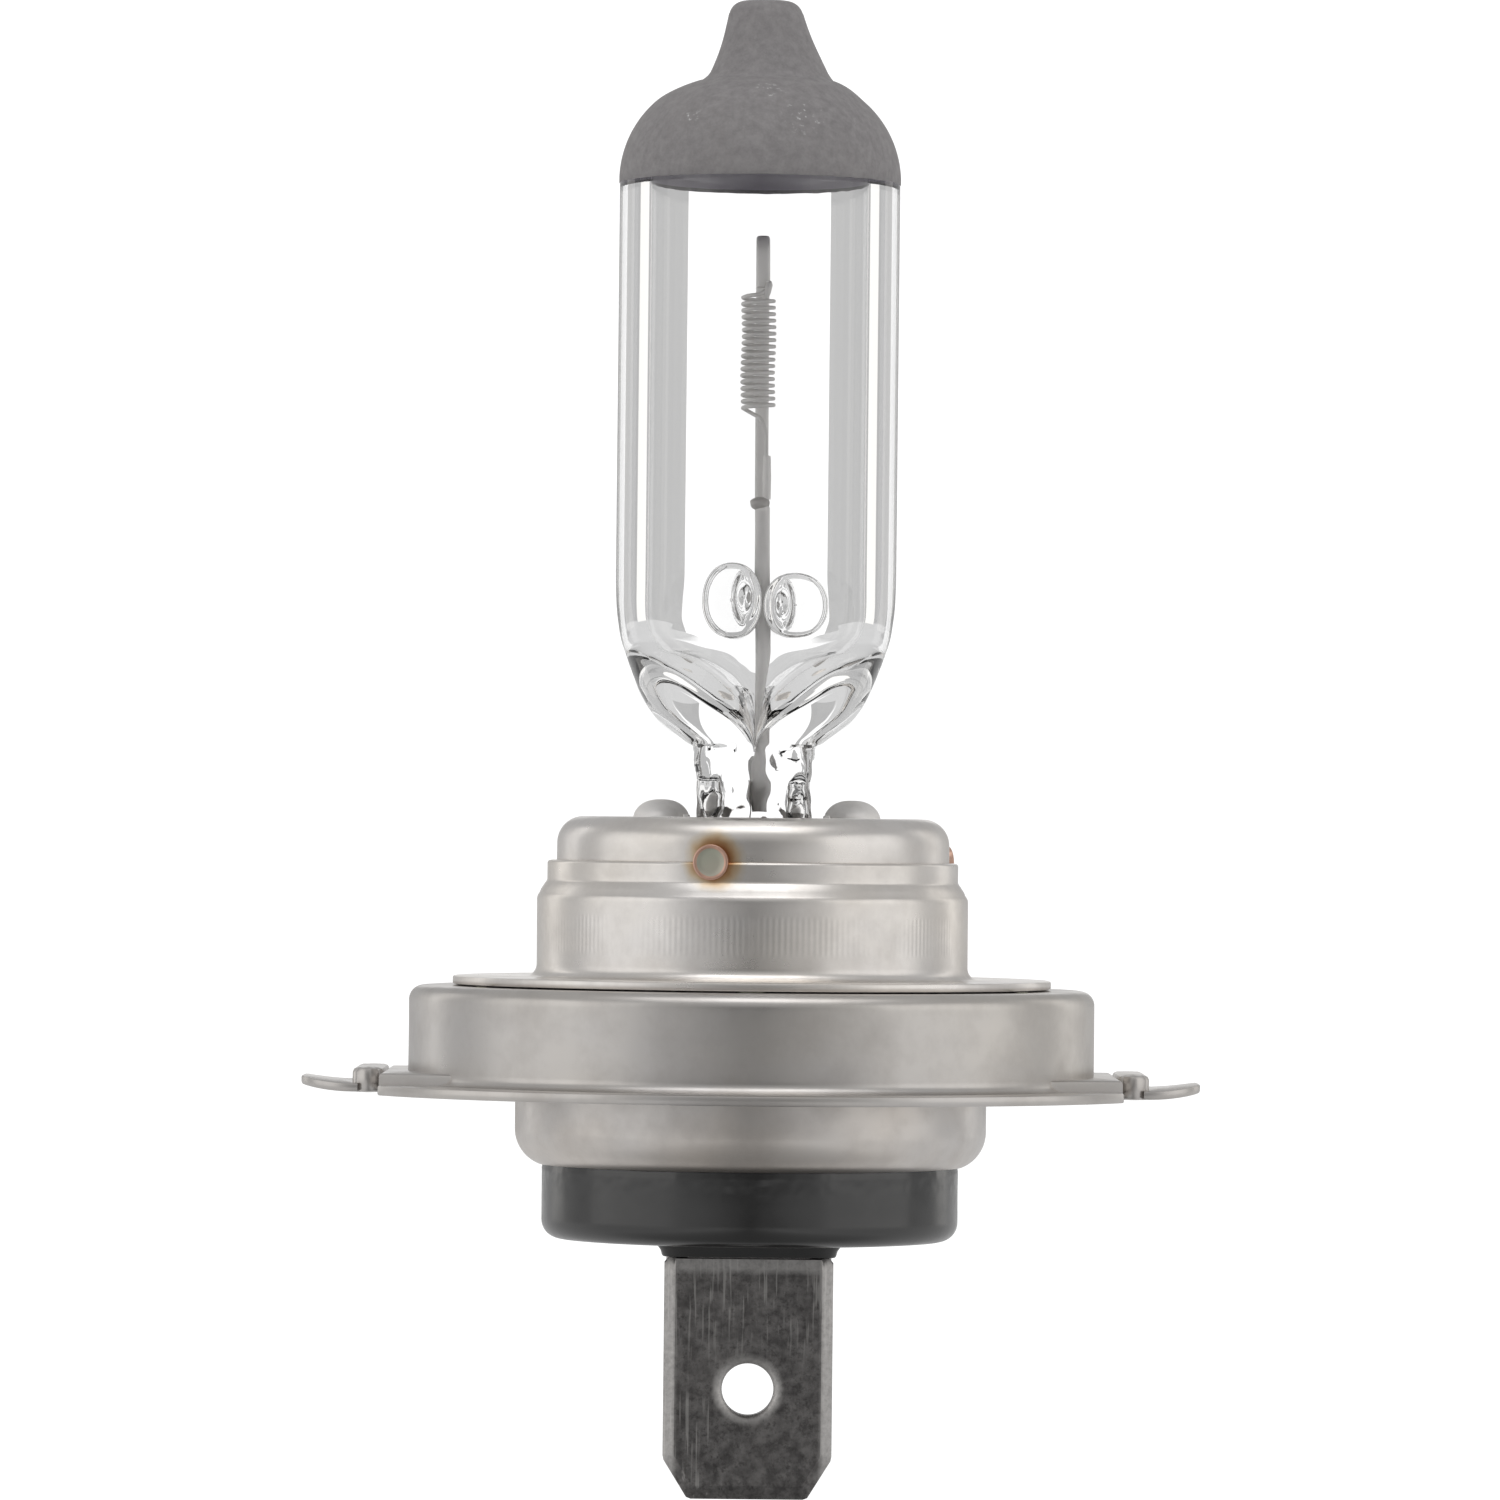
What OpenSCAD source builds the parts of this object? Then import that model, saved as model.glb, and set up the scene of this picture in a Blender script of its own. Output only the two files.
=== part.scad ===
// Single filament halogen headlight bulb with a three lug prefocus cap and two blade contacts.
// Millimetres. The origin is on the lamp axis in the reference plane, the plane through the
// flat tops of the three bosses on the prefocus ring. +Z points along the glass to its tip,
// +X through the right hand lug, and the two contact blades stand one behind the other along Y.

/* [Glass envelope] */
// outer radius of the quartz tube
tube_r = 5.3; // [5.25:0.01:5.31]
// wall thickness of the quartz tube
tube_wall = 1.17; // [1.16:0.01:1.25]
// height where the straight tube ends and the crown starts
tube_top_z = 33.5; // [32.8:0.1:34]
// height where the straight tube starts, above the flattened lower end
tube_low_z = 17.4; // [17:0.1:18]
// radius of the shoulder arc that closes the crown
crown_arc_r = 3.97; // [3.95:0.01:4.15]
// radius of the two flat sided sweeps that narrow the lower end
throat_arc_r = 6.03; // [6.02:0.01:6.1]
// how far each sweep centre lies past the lamp axis
throat_offset = 0.7; // [0.65:0.01:0.7]
// radius of the same sweeps inside the glass
throat_inner_r = 4.88; // [4.87:0.01:4.95]
// top of the sealed tip
tip_top_z = 40.3; // [40:0.1:40.6]
// radius of the sealed tip just under its rounding
tip_r = 1.4; // [1.3:0.05:1.5]
// rounding of the end of the tip
tip_round_r = 0.6; // [0.5:0.05:0.7]
// half angle of the tip cone in degrees
tip_cone_deg = 20.5; // [19:0.5:22]
// hollow fillet between the crown and the tip
neck_fillet_r = 0.4; // [0.3:0.05:0.5]

/* [Pinch seal] */
// half thickness of the pinch, across the blades
pinch_half_x = 2.22; // [2.14:0.02:2.3]
// half width of the pinch, along the row of leads
pinch_half_y = 5.36; // [5.34:0.01:5.45]
// lower end of the pinch
pinch_low_z = 4.2; // [4:0.1:4.6]
// upper end of the pinch, inside the throat
pinch_top_z = 12.5; // [12.4:0.1:12.7]
// half thickness of the web between the thick rims of the pinch
web_half_x = 1.3; // [1.1:0.05:1.5]
// width of the thick rims on each side of the web
rim_w = 1.15; // [1:0.05:1.3]

/* [Blackout coating] */
// thickness of the opaque coating on the crown
coat_t = 0.04; // [0.04:0.01:0.08]
// height of the lower rim of the coating
coat_low_z = 33.4; // [33:0.1:33.6]

/* [Filament] */
// outside diameter of the coil
coil_od = 1.32; // [1.2:0.02:1.4]
// diameter of the tungsten wire
wire_d = 0.15; // [0.12:0.01:0.16]
// rise of the coil in one turn
coil_pitch = 0.245; // [0.22:0.005:0.26]
// number of turns in the coil
coil_turns = 17; // [15:1:18]
// height of the first turn above the reference plane
coil_low_z = 25.0; // [24.8:0.1:25.2]

/* [Leads and foils] */
// diameter of the two inner leads
inner_lead_d = 0.55; // [0.5:0.01:0.6]
// side offset of the leads from the lamp axis
lead_x = 0.2; // [0.1:0.05:0.3]
// distance of each lead from the lamp axis, front and rear
lead_y = 2.15; // [2:0.05:2.3]
// top of the long lead where it turns over to the axis
long_lead_top_z = 31.5; // [31.2:0.1:31.7]
// bend radius of the long lead, measured to the wire centre
lead_bend_r = 0.6; // [0.5:0.05:0.7]
// thickness of each sealing foil
foil_t = 0.05; // [0.04:0.01:0.06]
// width of each sealing foil
foil_w = 2.2; // [2:0.1:2.4]
// lower and upper edges of the foils
foil_low_z = 5.2; // [5:0.1:5.4]
// upper edge of the foils
foil_top_z = 10.8; // [10.6:0.1:11]
// diameter of the two outer leads
outer_lead_d = 0.6; // [0.5:0.02:0.7]

/* [Quartz bridge] */
// half length of each bridge rod from front to rear
rod_half_y = 3.15; // [2.9:0.05:3.2]
// radius of the left rod
left_rod_r = 1.12; // [1.05:0.01:1.15]
// radius of the right rod
right_rod_r = 1.2; // [1.1:0.01:1.22]

/* [Holder cup and pinch springs] */
// outer radius of the holder cup
cup_r = 7.4; // [7.3:0.02:7.42]
// height of the top of the holder cup
cup_top_z = 9.5; // [9.3:0.1:9.7]
// lower rim of the holder cup, inside the focus sleeve
cup_low_z = 4.0; // [3.9:0.1:4.4]
// sheet thickness of the holder cup
cup_t = 0.3; // [0.25:0.01:0.32]
// outside rounding of the top edge of the cup
cup_round_r = 1.0; // [0.8:0.1:1.2]
// side distance of each spring arch from the lamp axis
spring_x = 3.6; // [3.56:0.02:3.64]
// outside radius of each spring arch
spring_r = 1.17; // [1.14:0.01:1.2]
// sheet thickness of the pinch springs
spring_t = 0.25; // [0.2:0.01:0.26]
// half width of the pinch springs along Y
spring_half_y = 2.4; // [2:0.1:2.5]

/* [Focus sleeve] */
// outer radius of the upper lip
lip_r = 7.75; // [7.74:0.01:7.8]
// top of the upper lip
lip_top_z = 7.85; // [7.7:0.05:8]
// outer radius of the wide part of the sleeve
sleeve_r = 8.135; // [8.1:0.005:8.2]
// outer radius of the flange at its foot
sleeve_flange_r = 11.285; // [11.1:0.005:11.4]
// sheet thickness of the sleeve
sleeve_t = 0.32; // [0.28:0.01:0.33]
// outside radius of the flare into the flange
flare_r = 0.45; // [0.4:0.01:0.5]

/* [Prefocus ring] */
// outer radius of the ring, the diameter that centres the bulb
ring_r = 12.925; // [12.875:0.005:12.975]
// top face of the ring
ring_top_z = 3.08; // [3:0.02:3.1]
// sheet thickness of the ring and its flange
ring_t = 0.36; // [0.32:0.01:0.38]
// outside rounding of the top edge of the ring
ring_round_r = 0.55; // [0.5:0.05:1]
// hollow fillet between the ring wall and the flange
ring_fillet_r = 0.4; // [0.35:0.01:0.42]
// radius of the opening in the top of the ring
ring_hole_r = 9.2; // [9.1:0.05:9.4]
// upper face of the flange, below the reference plane
flange_top_z = -0.56; // [-0.6:0.01:-0.52]
// outer radius of the flange at the front and rear
flange_r = 15.5; // [15.3:0.05:15.7]
// distance of the straight flange sides from the lamp axis
flange_flat_x = 13.8; // [13.7:0.02:13.9]
// half width of the raised pads beside the ring
pad_half_y = 6.7; // [6.4:0.1:7]
// top of the raised pads
pad_top_z = -0.24; // [-0.3:0.01:-0.22]
// distance from the axis to the outer end of the reference bosses
boss_end_x = 14.9; // [14.8:0.02:15]
// half width of the side lugs and their bosses
lug_half_y = 3.3; // [3.1:0.1:3.4]
// distance from the axis to the tip of the side lugs
lug_end_x = 16.9; // [16.7:0.05:17]
// corner radius of the side lugs
lug_corner_r = 2.2; // [1.8:0.1:2.4]
// radius of the slight upward sweep of the lug tips
lug_sweep_r = 8.5; // [8:0.5:12]
// half width of the rear lug
rear_lug_half_x = 2.4; // [2.2:0.1:2.6]

/* [Base shell] */
// outer radius of the base shell
shell_r = 8.885; // [8.8:0.005:8.95]
// sheet thickness of the base shell
shell_t = 0.35; // [0.3:0.01:0.36]
// height where the wall starts to curl in
shell_curl_z = -2.3; // [-2.4:0.05:-2.2]
// outside radius of the curled lower edge
shell_curl_r = 1.4; // [1.3:0.05:1.5]
// outer radius of the welded flange under the ring
shell_flange_r = 11.6; // [11.3:0.05:11.8]

/* [Insulator] */
// outer radius of the visible part of the insulator
insulator_r = 7.85; // [7.75:0.01:7.88]
// lower face of the insulator
insulator_low_z = -6.4; // [-6.6:0.1:-6.2]
// rounding of the lower edge of the insulator
insulator_round_r = 0.7; // [0.5:0.05:0.9]
// upper face of the insulator, inside the shell
insulator_top_z = -1.3; // [-1.5:0.1:-1.1]
// half width of the low seat over each blade
seat_half_x = 3.25; // [3.2:0.05:3.4]
// half depth of the low seat over each blade
seat_half_y = 0.9; // [0.7:0.05:1]

/* [Contact blades] */
// distance of each blade's middle plane from the lamp axis
blade_y = 4.1; // [4:0.05:4.2]
// width of each blade
blade_w = 6.3; // [6.2:0.02:6.4]
// thickness of each blade
blade_t = 0.8; // [0.77:0.01:0.84]
// lower end of the blades
blade_low_z = -15.9; // [-16.2:0.1:-15.6]
// upper end of the full thickness of the blades
blade_top_z = -6.9; // [-7:0.05:-6.8]
// width of the corner chamfers at the lower end
blade_corner_w = 0.93; // [0.8:0.01:1]
// height of the corner chamfers at the lower end
blade_corner_h = 1.5; // [1.3:0.05:1.6]
// width of the bevels along the blade edges
blade_bevel_w = 0.5; // [0.4:0.02:0.6]
// radius of the latch hole
latch_hole_r = 0.985; // [0.95:0.005:1.05]
// height of the latch hole centre
latch_hole_z = -11.8; // [-12:0.05:-11.6]
// how much lower the latch hole of the rear blade is
rear_hole_drop = 0.5; // [0:0.05:0.6]
// width of the stem that passes through the insulator
stem_w = 4.6; // [4.4:0.1:5]
// thickness of the stem
stem_t = 0.4; // [0.36:0.01:0.42]
// upper end of the stem, where the outer lead is welded
stem_top_z = 1.0; // [0.8:0.1:1.2]

/* [Hidden] */
$fn = 96;
glass_colour = [0.85, 0.9, 0.92, 0.4];
coat_colour = [0.3, 0.3, 0.32];
tungsten_colour = [0.5, 0.5, 0.5];
lead_colour = [0.62, 0.62, 0.6];
steel_colour = [0.66, 0.64, 0.62];
sleeve_colour = [0.7, 0.68, 0.65];
weld_colour = [0.5, 0.36, 0.26];
ceramic_colour = [0.2, 0.2, 0.21];
blade_colour = [0.55, 0.54, 0.53];

eps = 0.01;
cavity_r = tube_r - tube_wall;
crown_centre_r = tube_r - crown_arc_r;
web_cut = pinch_half_x - web_half_x;
embed_gap = 0.02;
inner_lead_r = inner_lead_d / 2;
outer_lead_r = outer_lead_d / 2;
foil_x = lead_x - inner_lead_r - foil_t / 2;
outer_lead_x = foil_x + foil_t / 2 + outer_lead_r;
inner_lead_low_z = foil_top_z - 0.6;
outer_lead_top_z = foil_low_z + 0.6;
stem_lead_y = blade_y - stem_t / 2 - outer_lead_r;
outer_lead_low_z = -0.6;
coil_r = (coil_od - wire_d) / 2;
coil_top_z = coil_low_z + coil_turns * coil_pitch;
tail_sleeve_d = 0.3;
tail_sleeve_low_z = 21.5;
tail_sleeve_top_z = 23.15;
tail_x = lead_x + 0.17;
nugget_r = 0.34;
short_lead_top_z = 21.2;
bridge_z = 17.45;
bridge_left_rise = 0.75;
bridge_right_rise = 0.1;
rod_end_r = 3.6;
cup_hole_half_x = 2.95;
cup_hole_half_y = 5.6;
arch_z = 9.03;
lip_low_z = 7.0;
cone_low_z = 6.2;
flare_z = 3.9;
weld_azimuth = 258.3;
ring_wall_top_z = ring_top_z - ring_round_r;
flange_low_z = flange_top_z - ring_t;
boss_edge = 0.3;
lug_lift = 0.02;
lug_trim = 0.03;
boss_start_x = flange_flat_x - 0.05;
stem_slot_gap = 0.05;
seat_gap = 0.04;

// ---- helpers ----

module bar(x0, x1, y0, y1, z0, z1) {
    translate([x0, y0, z0]) cube([x1 - x0, y1 - y0, z1 - z0]);
}

// round wire between two points, shortened at both ends by trim
module wire(a, b, d, trim = 0) {
    v = b - a;
    run = norm([v[0], v[1]]);
    translate(a)
        rotate([0, 0, atan2(v[1], v[0])])
            rotate([0, atan2(run, v[2]), 0])
                translate([0, 0, trim]) cylinder(h = norm(v) - 2 * trim, r = d / 2);
}

// thin wire along a list of points, with a slightly larger ball at each inner joint
module wire_path(points, d) {
    last = len(points) - 2;
    for (i = [0 : last]) wire(points[i], points[i + 1], d, 0.26 * d);
    for (i = [1 : last]) translate(points[i]) sphere(r = 0.6 * d);
}

// round rod that starts along +Z; each step is [straight length, bend angle, bend radius] and
// every bend turns toward +X, or toward -X when the angle is negative
module bent_rod(steps, d, i = 0) {
    length = steps[i][0];
    angle = abs(steps[i][1]);
    side = steps[i][1] < 0 ? 180 : 0;
    radius = steps[i][2];
    cylinder(h = length, r = d / 2);
    if (i < len(steps) - 1)
        translate([0, 0, length]) rotate([0, 0, side]) {
            translate([radius, 0, 0]) rotate([90, 0, 180])
                rotate_extrude(angle = angle) translate([radius, 0]) circle(r = d / 2);
            translate([radius * (1 - cos(angle)), 0, radius * sin(angle)]) rotate([0, angle, 0])
                rotate([0, 0, -side]) bent_rod(steps, d, i + 1);
        }
}

// quarter of a flat band in the profile plane, centred on [cx, cz], on the side sx, sz
module corner_band(cx, cz, r_out, r_in, sx, sz) {
    intersection() {
        difference() {
            translate([cx, cz]) circle(r = r_out);
            translate([cx, cz]) circle(r = r_in);
        }
        translate([sx > 0 ? cx : cx - r_out, sz > 0 ? cz : cz - r_out]) square([r_out, r_out]);
    }
}

// ---- crown of the glass, also used for the coating ----

tip_centre = [tip_r - tip_round_r, tip_top_z - tip_round_r];
cone_out = [cos(tip_cone_deg), sin(tip_cone_deg)];
cone_up = [-sin(tip_cone_deg), cos(tip_cone_deg)];
cone_point = tip_centre + tip_round_r * cone_out;
crown_centre = [crown_centre_r, tube_top_z];
neck_start = cone_point + neck_fillet_r * cone_out - crown_centre;
neck_reach = crown_arc_r + neck_fillet_r;
neck_dot = neck_start * cone_up;
neck_shift = -neck_dot + sqrt(neck_dot * neck_dot - neck_start * neck_start + neck_reach * neck_reach);
neck_centre = crown_centre + neck_start + neck_shift * cone_up;
neck_on_cone = neck_centre - neck_fillet_r * cone_out;
neck_on_crown = neck_centre + neck_fillet_r * (crown_centre - neck_centre) / neck_reach;

// profile of the closed crown and its sealed tip, grown outward by g
module crown_profile(g, low_z) {
    intersection() {
        translate(crown_centre) circle(r = crown_arc_r + g);
        translate([0, low_z]) square([tube_r + 1, tip_top_z - low_z]);
    }
    intersection() {
        translate(tip_centre) circle(r = tip_round_r + g);
        translate([0, tip_centre[1]]) square([tip_r + 1, tip_round_r + 1]);
    }
    polygon([[0, tube_top_z + 1], neck_on_crown - [0.25, 0.25], neck_on_cone + g * cone_out,
             cone_point + g * cone_out, [tip_centre[0], tip_centre[1] + tip_round_r + g],
             [0, tip_centre[1] + tip_round_r + g]]);
    difference() {
        polygon([neck_on_crown - [0.25, 0.25], neck_on_crown - [0, g / 2], neck_centre,
                 neck_on_cone + g / 2 * cone_out, neck_on_cone - [0.3, 0]]);
        translate(neck_centre) circle(r = neck_fillet_r - g);
    }
}

// what is cut away on both sides below the straight tube, to narrow it to a lens shaped throat
module throat_cuts(r_arc, low_z) {
    reach = tube_r + 1;
    for (s = [-1, 1])
        difference() {
            translate([s > 0 ? 0 : -reach, -reach, low_z]) cube([reach, 2 * reach, tube_low_z - low_z]);
            translate([-s * throat_offset, 0, tube_low_z]) rotate([90, 0, 0])
                cylinder(h = 2 * reach + 1, r = r_arc, center = true);
        }
}

module pinch_block() {
    difference() {
        bar(-pinch_half_x, pinch_half_x, -pinch_half_y, pinch_half_y, pinch_low_z, pinch_top_z);
        for (s = [-1, 1])
            translate([s * (web_half_x + web_cut), 0, 0])
                bar(-web_cut, web_cut, rim_w - pinch_half_y, pinch_half_y - rim_w,
                    pinch_low_z + 1, pinch_top_z - 1.6);
    }
}

// pockets that hold the foils and leads inside the pinch
module seal_pockets() {
    for (s = [-1, 1]) {
        bar(foil_x - foil_t / 2 - embed_gap, foil_x + foil_t / 2 + embed_gap,
            s * lead_y - foil_w / 2 - embed_gap, s * lead_y + foil_w / 2 + embed_gap,
            foil_low_z - embed_gap, foil_top_z + embed_gap);
        translate([lead_x, s * lead_y, inner_lead_low_z - embed_gap])
            cylinder(h = 4, r = inner_lead_r + embed_gap);
        translate([outer_lead_x, s * lead_y, pinch_low_z - 1])
            cylinder(h = outer_lead_top_z + embed_gap - pinch_low_z + 1, r = outer_lead_r + embed_gap);
    }
}

// solid glass above the pinch
module outer_glass() {
    low_z = pinch_top_z - 0.3;
    difference() {
        rotate_extrude() {
            crown_profile(0, tube_top_z);
            translate([0, low_z]) square([tube_r, tube_top_z - low_z]);
        }
        throat_cuts(throat_arc_r, low_z - 1);
    }
}

// gas space inside the tube
module cavity() {
    inner_arc_r = crown_arc_r - tube_wall;
    low_z = tube_low_z - throat_inner_r - 0.2;
    difference() {
        rotate_extrude() {
            intersection() {
                translate(crown_centre) circle(r = inner_arc_r);
                translate([0, tube_top_z]) square([cavity_r, inner_arc_r]);
            }
            translate([0, low_z]) square([cavity_r, tube_top_z - low_z]);
            polygon([[0, tube_top_z], [1.1, tube_top_z], [1.1, tube_top_z + inner_arc_r - 0.1],
                     [0.35, tip_top_z - 2.6], [0, tip_top_z - 2.6]]);
        }
        throat_cuts(throat_inner_r, low_z - 1);
    }
}

module quartz_envelope() {
    color(glass_colour)
        difference() {
            union() {
                outer_glass();
                pinch_block();
            }
            cavity();
            seal_pockets();
        }
}

module blackout_coating() {
    color(coat_colour)
        rotate_extrude() {
            difference() {
                crown_profile(coat_t, tube_top_z);
                crown_profile(0, tube_top_z - 1);
            }
            translate([tube_r, coat_low_z]) square([coat_t, tube_top_z - coat_low_z]);
        }
}

// ---- filament ----

// half a turn of the coil, tilted so that it climbs half a pitch
module half_turn(z, turn_deg) {
    tilt = atan2(coil_pitch / 2, 2 * coil_r);
    translate([0, 0, z])
        rotate([0, turn_deg == 0 ? -tilt : tilt, 0])
            rotate([0, 0, turn_deg + 180])
                rotate_extrude(angle = 180) translate([coil_r / cos(tilt), 0]) circle(r = wire_d / 2);
}

module filament() {
    left_z = coil_low_z - coil_pitch / 4;
    right_z = coil_top_z - coil_pitch / 4;
    color(tungsten_colour)
        union() {
            for (i = [0 : coil_turns - 1]) {
                half_turn(coil_low_z + i * coil_pitch, 0);
                half_turn(coil_low_z + (i + 0.5) * coil_pitch, 180);
            }
            wire_path([[-coil_r, -0.02, left_z + 0.03], [-0.42, 0.1, left_z - 0.12],
                       [0.1, 0.05, left_z - 0.3], [tail_x, 0, left_z - 0.6],
                       [tail_x, 0, tail_sleeve_low_z]], wire_d);
            wire_path([[-coil_r, 0.02, right_z - 0.03], [-0.3, -0.26, right_z + 0.1],
                       [lead_x, -0.36, right_z + 0.22], [lead_x + 0.12, -0.36, 29.75]], wire_d);
        }
}

module filament_tail_sleeve() {
    color(tungsten_colour)
        difference() {
            translate([tail_x, 0, tail_sleeve_low_z])
                cylinder(h = tail_sleeve_top_z - tail_sleeve_low_z, r = tail_sleeve_d / 2);
            translate([tail_x, 0, tail_sleeve_low_z - 1])
                cylinder(h = tail_sleeve_top_z - tail_sleeve_low_z + 2, r = wire_d / 2 + eps);
        }
}

module filament_weld() {
    color(weld_colour)
        difference() {
            translate([lead_x - 0.02, 0, tail_sleeve_low_z - 0.16]) sphere(r = nugget_r);
            translate([tail_x, 0, tail_sleeve_low_z - eps]) cylinder(h = 1, r = tail_sleeve_d / 2 + eps);
            short_lead_shape(inner_lead_d + 0.02);
        }
}

// ---- leads and foils ----

module long_inner_lead() {
    mid_z = long_lead_top_z - inner_lead_r;
    color(lead_colour)
        translate([lead_x, 0, 0])
            union() {
                translate([0, lead_y, inner_lead_low_z])
                    cylinder(h = mid_z - lead_bend_r - inner_lead_low_z, r = inner_lead_r);
                translate([0, lead_y - lead_bend_r, mid_z - lead_bend_r])
                    rotate([90, 0, 90])
                        rotate_extrude(angle = 90) translate([lead_bend_r, 0]) circle(r = inner_lead_r);
                translate([0, lead_y - lead_bend_r, mid_z]) rotate([90, 0, 0])
                    cylinder(h = lead_y - 2 * lead_bend_r, r = inner_lead_r);
                translate([0, lead_bend_r, mid_z - lead_bend_r])
                    rotate([90, 0, 90]) rotate([0, 0, 90])
                        rotate_extrude(angle = 90) translate([lead_bend_r, 0]) circle(r = inner_lead_r);
                translate([0, 0, 29.5]) cylinder(h = mid_z - lead_bend_r - 29.5, r = inner_lead_r);
            }
}

// the short lead leans in to the axis above the bridge, then stands up again
module short_lead_shape(d) {
    lean = 40;
    bend_r = 0.7;
    lean_run = (lead_y - 2 * bend_r * (1 - cos(lean))) / sin(lean);
    lean_rise = lean_run * cos(lean) + 2 * bend_r * sin(lean);
    straight = short_lead_top_z - 0.1 - lean_rise - inner_lead_low_z;
    translate([lead_x, -lead_y, inner_lead_low_z]) rotate([0, 0, 90])
        bent_rod([[straight, lean, bend_r], [lean_run, -lean, bend_r], [0.1, 0, 0]], d);
}

module short_inner_lead() {
    color(lead_colour) short_lead_shape(inner_lead_d);
}

module foil(s) {
    color(tungsten_colour)
        bar(foil_x - foil_t / 2, foil_x + foil_t / 2,
            s * lead_y - foil_w / 2, s * lead_y + foil_w / 2, foil_low_z, foil_top_z);
}

module foil_front() { foil(-1); }

module foil_rear() { foil(1); }

// the outer lead drops out of the pinch, leans out to the stem and runs down its inner face
module outer_lead(s) {
    lean = 40;
    bend_r = 0.7;
    lean_run = (stem_lead_y - lead_y - 2 * bend_r * (1 - cos(lean))) / sin(lean);
    drop = outer_lead_top_z - 3.5;
    tail = 3.5 - lean_run * cos(lean) - 2 * bend_r * sin(lean) - outer_lead_low_z;
    color(lead_colour)
        translate([outer_lead_x, s * lead_y, outer_lead_top_z]) rotate([0, 0, s * 90]) mirror([0, 0, 1])
            bent_rod([[drop, lean, bend_r], [lean_run, -lean, bend_r], [tail, 0, 0]], outer_lead_d);
}

module outer_lead_front() { outer_lead(-1); }

module outer_lead_rear() { outer_lead(1); }

// ---- quartz bridge ----

// a bar along Y with round sides, cut on the plane between the leads and grooved round them
module bridge_rod(x, r, rise, s) {
    low_z = bridge_z - rise / 2;
    color(glass_colour)
        difference() {
            intersection() {
                union() {
                    for (z = [low_z, low_z + rise])
                        translate([x, 0, z]) rotate([90, 0, 0])
                            cylinder(h = 2 * rod_half_y, r = r, center = true);
                    bar(x - r, x + r, -rod_half_y, rod_half_y, low_z, low_z + rise);
                }
                translate([x, 0, bridge_z]) sphere(r = rod_end_r);
                translate([s > 0 ? lead_x : lead_x - 4, -4, bridge_z - 4]) cube([4, 8, 8]);
            }
            for (y = [-lead_y, lead_y])
                translate([lead_x, y, bridge_z - 3]) cylinder(h = 6, r = inner_lead_r + embed_gap);
        }
}

module bridge_rod_left() { bridge_rod(lead_x - 0.98, left_rod_r, bridge_left_rise, -1); }

module bridge_rod_right() { bridge_rod(lead_x + 1.1, right_rod_r, bridge_right_rise, 1); }

// ---- holder cup and springs ----

module holder_cup() {
    shoulder_z = cup_top_z - cup_round_r;
    color(steel_colour)
        difference() {
            rotate_extrude() {
                translate([cup_r - cup_t, cup_low_z]) square([cup_t, shoulder_z - cup_low_z]);
                corner_band(cup_r - cup_round_r, shoulder_z, cup_round_r, cup_round_r - cup_t, 1, 1);
                translate([0, cup_top_z - cup_t]) square([cup_r - cup_round_r, cup_t]);
            }
            bar(-cup_hole_half_x, cup_hole_half_x, -cup_hole_half_y, cup_hole_half_y,
                cup_top_z - 1, cup_top_z + 1);
        }
}

// hooked leaf spring: foot on the cup, arch over the opening, leg down the face of the pinch
module pinch_spring() {
    leg_x = spring_x - spring_r;
    color(steel_colour)
        translate([0, spring_half_y, 0])
            rotate([90, 0, 0])
                linear_extrude(height = 2 * spring_half_y) {
                    intersection() {
                        difference() {
                            translate([spring_x, arch_z]) circle(r = spring_r);
                            translate([spring_x, arch_z]) circle(r = spring_r - spring_t);
                        }
                        union() {
                            translate([leg_x - 1, cup_top_z]) square([2 * spring_r + 2, spring_r]);
                            translate([leg_x - 1, arch_z]) square([spring_r + 1, spring_r]);
                        }
                    }
                    translate([leg_x, 6.2]) square([spring_t, arch_z - 6.2]);
                    translate([leg_x + spring_t / 2, 6.9])
                        circle(r = leg_x + spring_t / 2 - pinch_half_x);
                    translate([spring_x + spring_r - 0.35, cup_top_z]) square([1.1, spring_t]);
                }
}

module pinch_spring_right() { pinch_spring(); }

module pinch_spring_left() { mirror([1, 0, 0]) pinch_spring(); }

// ---- focus sleeve ----

module focus_sleeve() {
    in_r = sleeve_r - sleeve_t;
    bend_x = sleeve_r + flare_r;
    top_z = flare_z - flare_r;
    low_z = top_z - sleeve_t;
    chamfer = sleeve_t / 4;
    color(sleeve_colour)
        rotate_extrude()
            difference() {
                polygon([[lip_r - sleeve_t, lip_top_z - chamfer],
                         [lip_r - sleeve_t + chamfer, lip_top_z], [lip_r - chamfer, lip_top_z],
                         [lip_r, lip_top_z - chamfer], [lip_r, lip_low_z], [sleeve_r, cone_low_z],
                         [sleeve_r, flare_z], [bend_x, flare_z], [bend_x, top_z],
                         [sleeve_flange_r, top_z], [sleeve_flange_r, low_z], [in_r, low_z],
                         [in_r, cone_low_z], [lip_r - sleeve_t, lip_low_z]]);
                translate([bend_x, flare_z]) circle(r = flare_r);
                difference() {
                    translate([in_r - 1, low_z - 1]) square([bend_x - in_r + 1, sleeve_t + flare_r + 1]);
                    translate([bend_x, flare_z]) circle(r = flare_r + sleeve_t);
                }
            }
}

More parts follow.
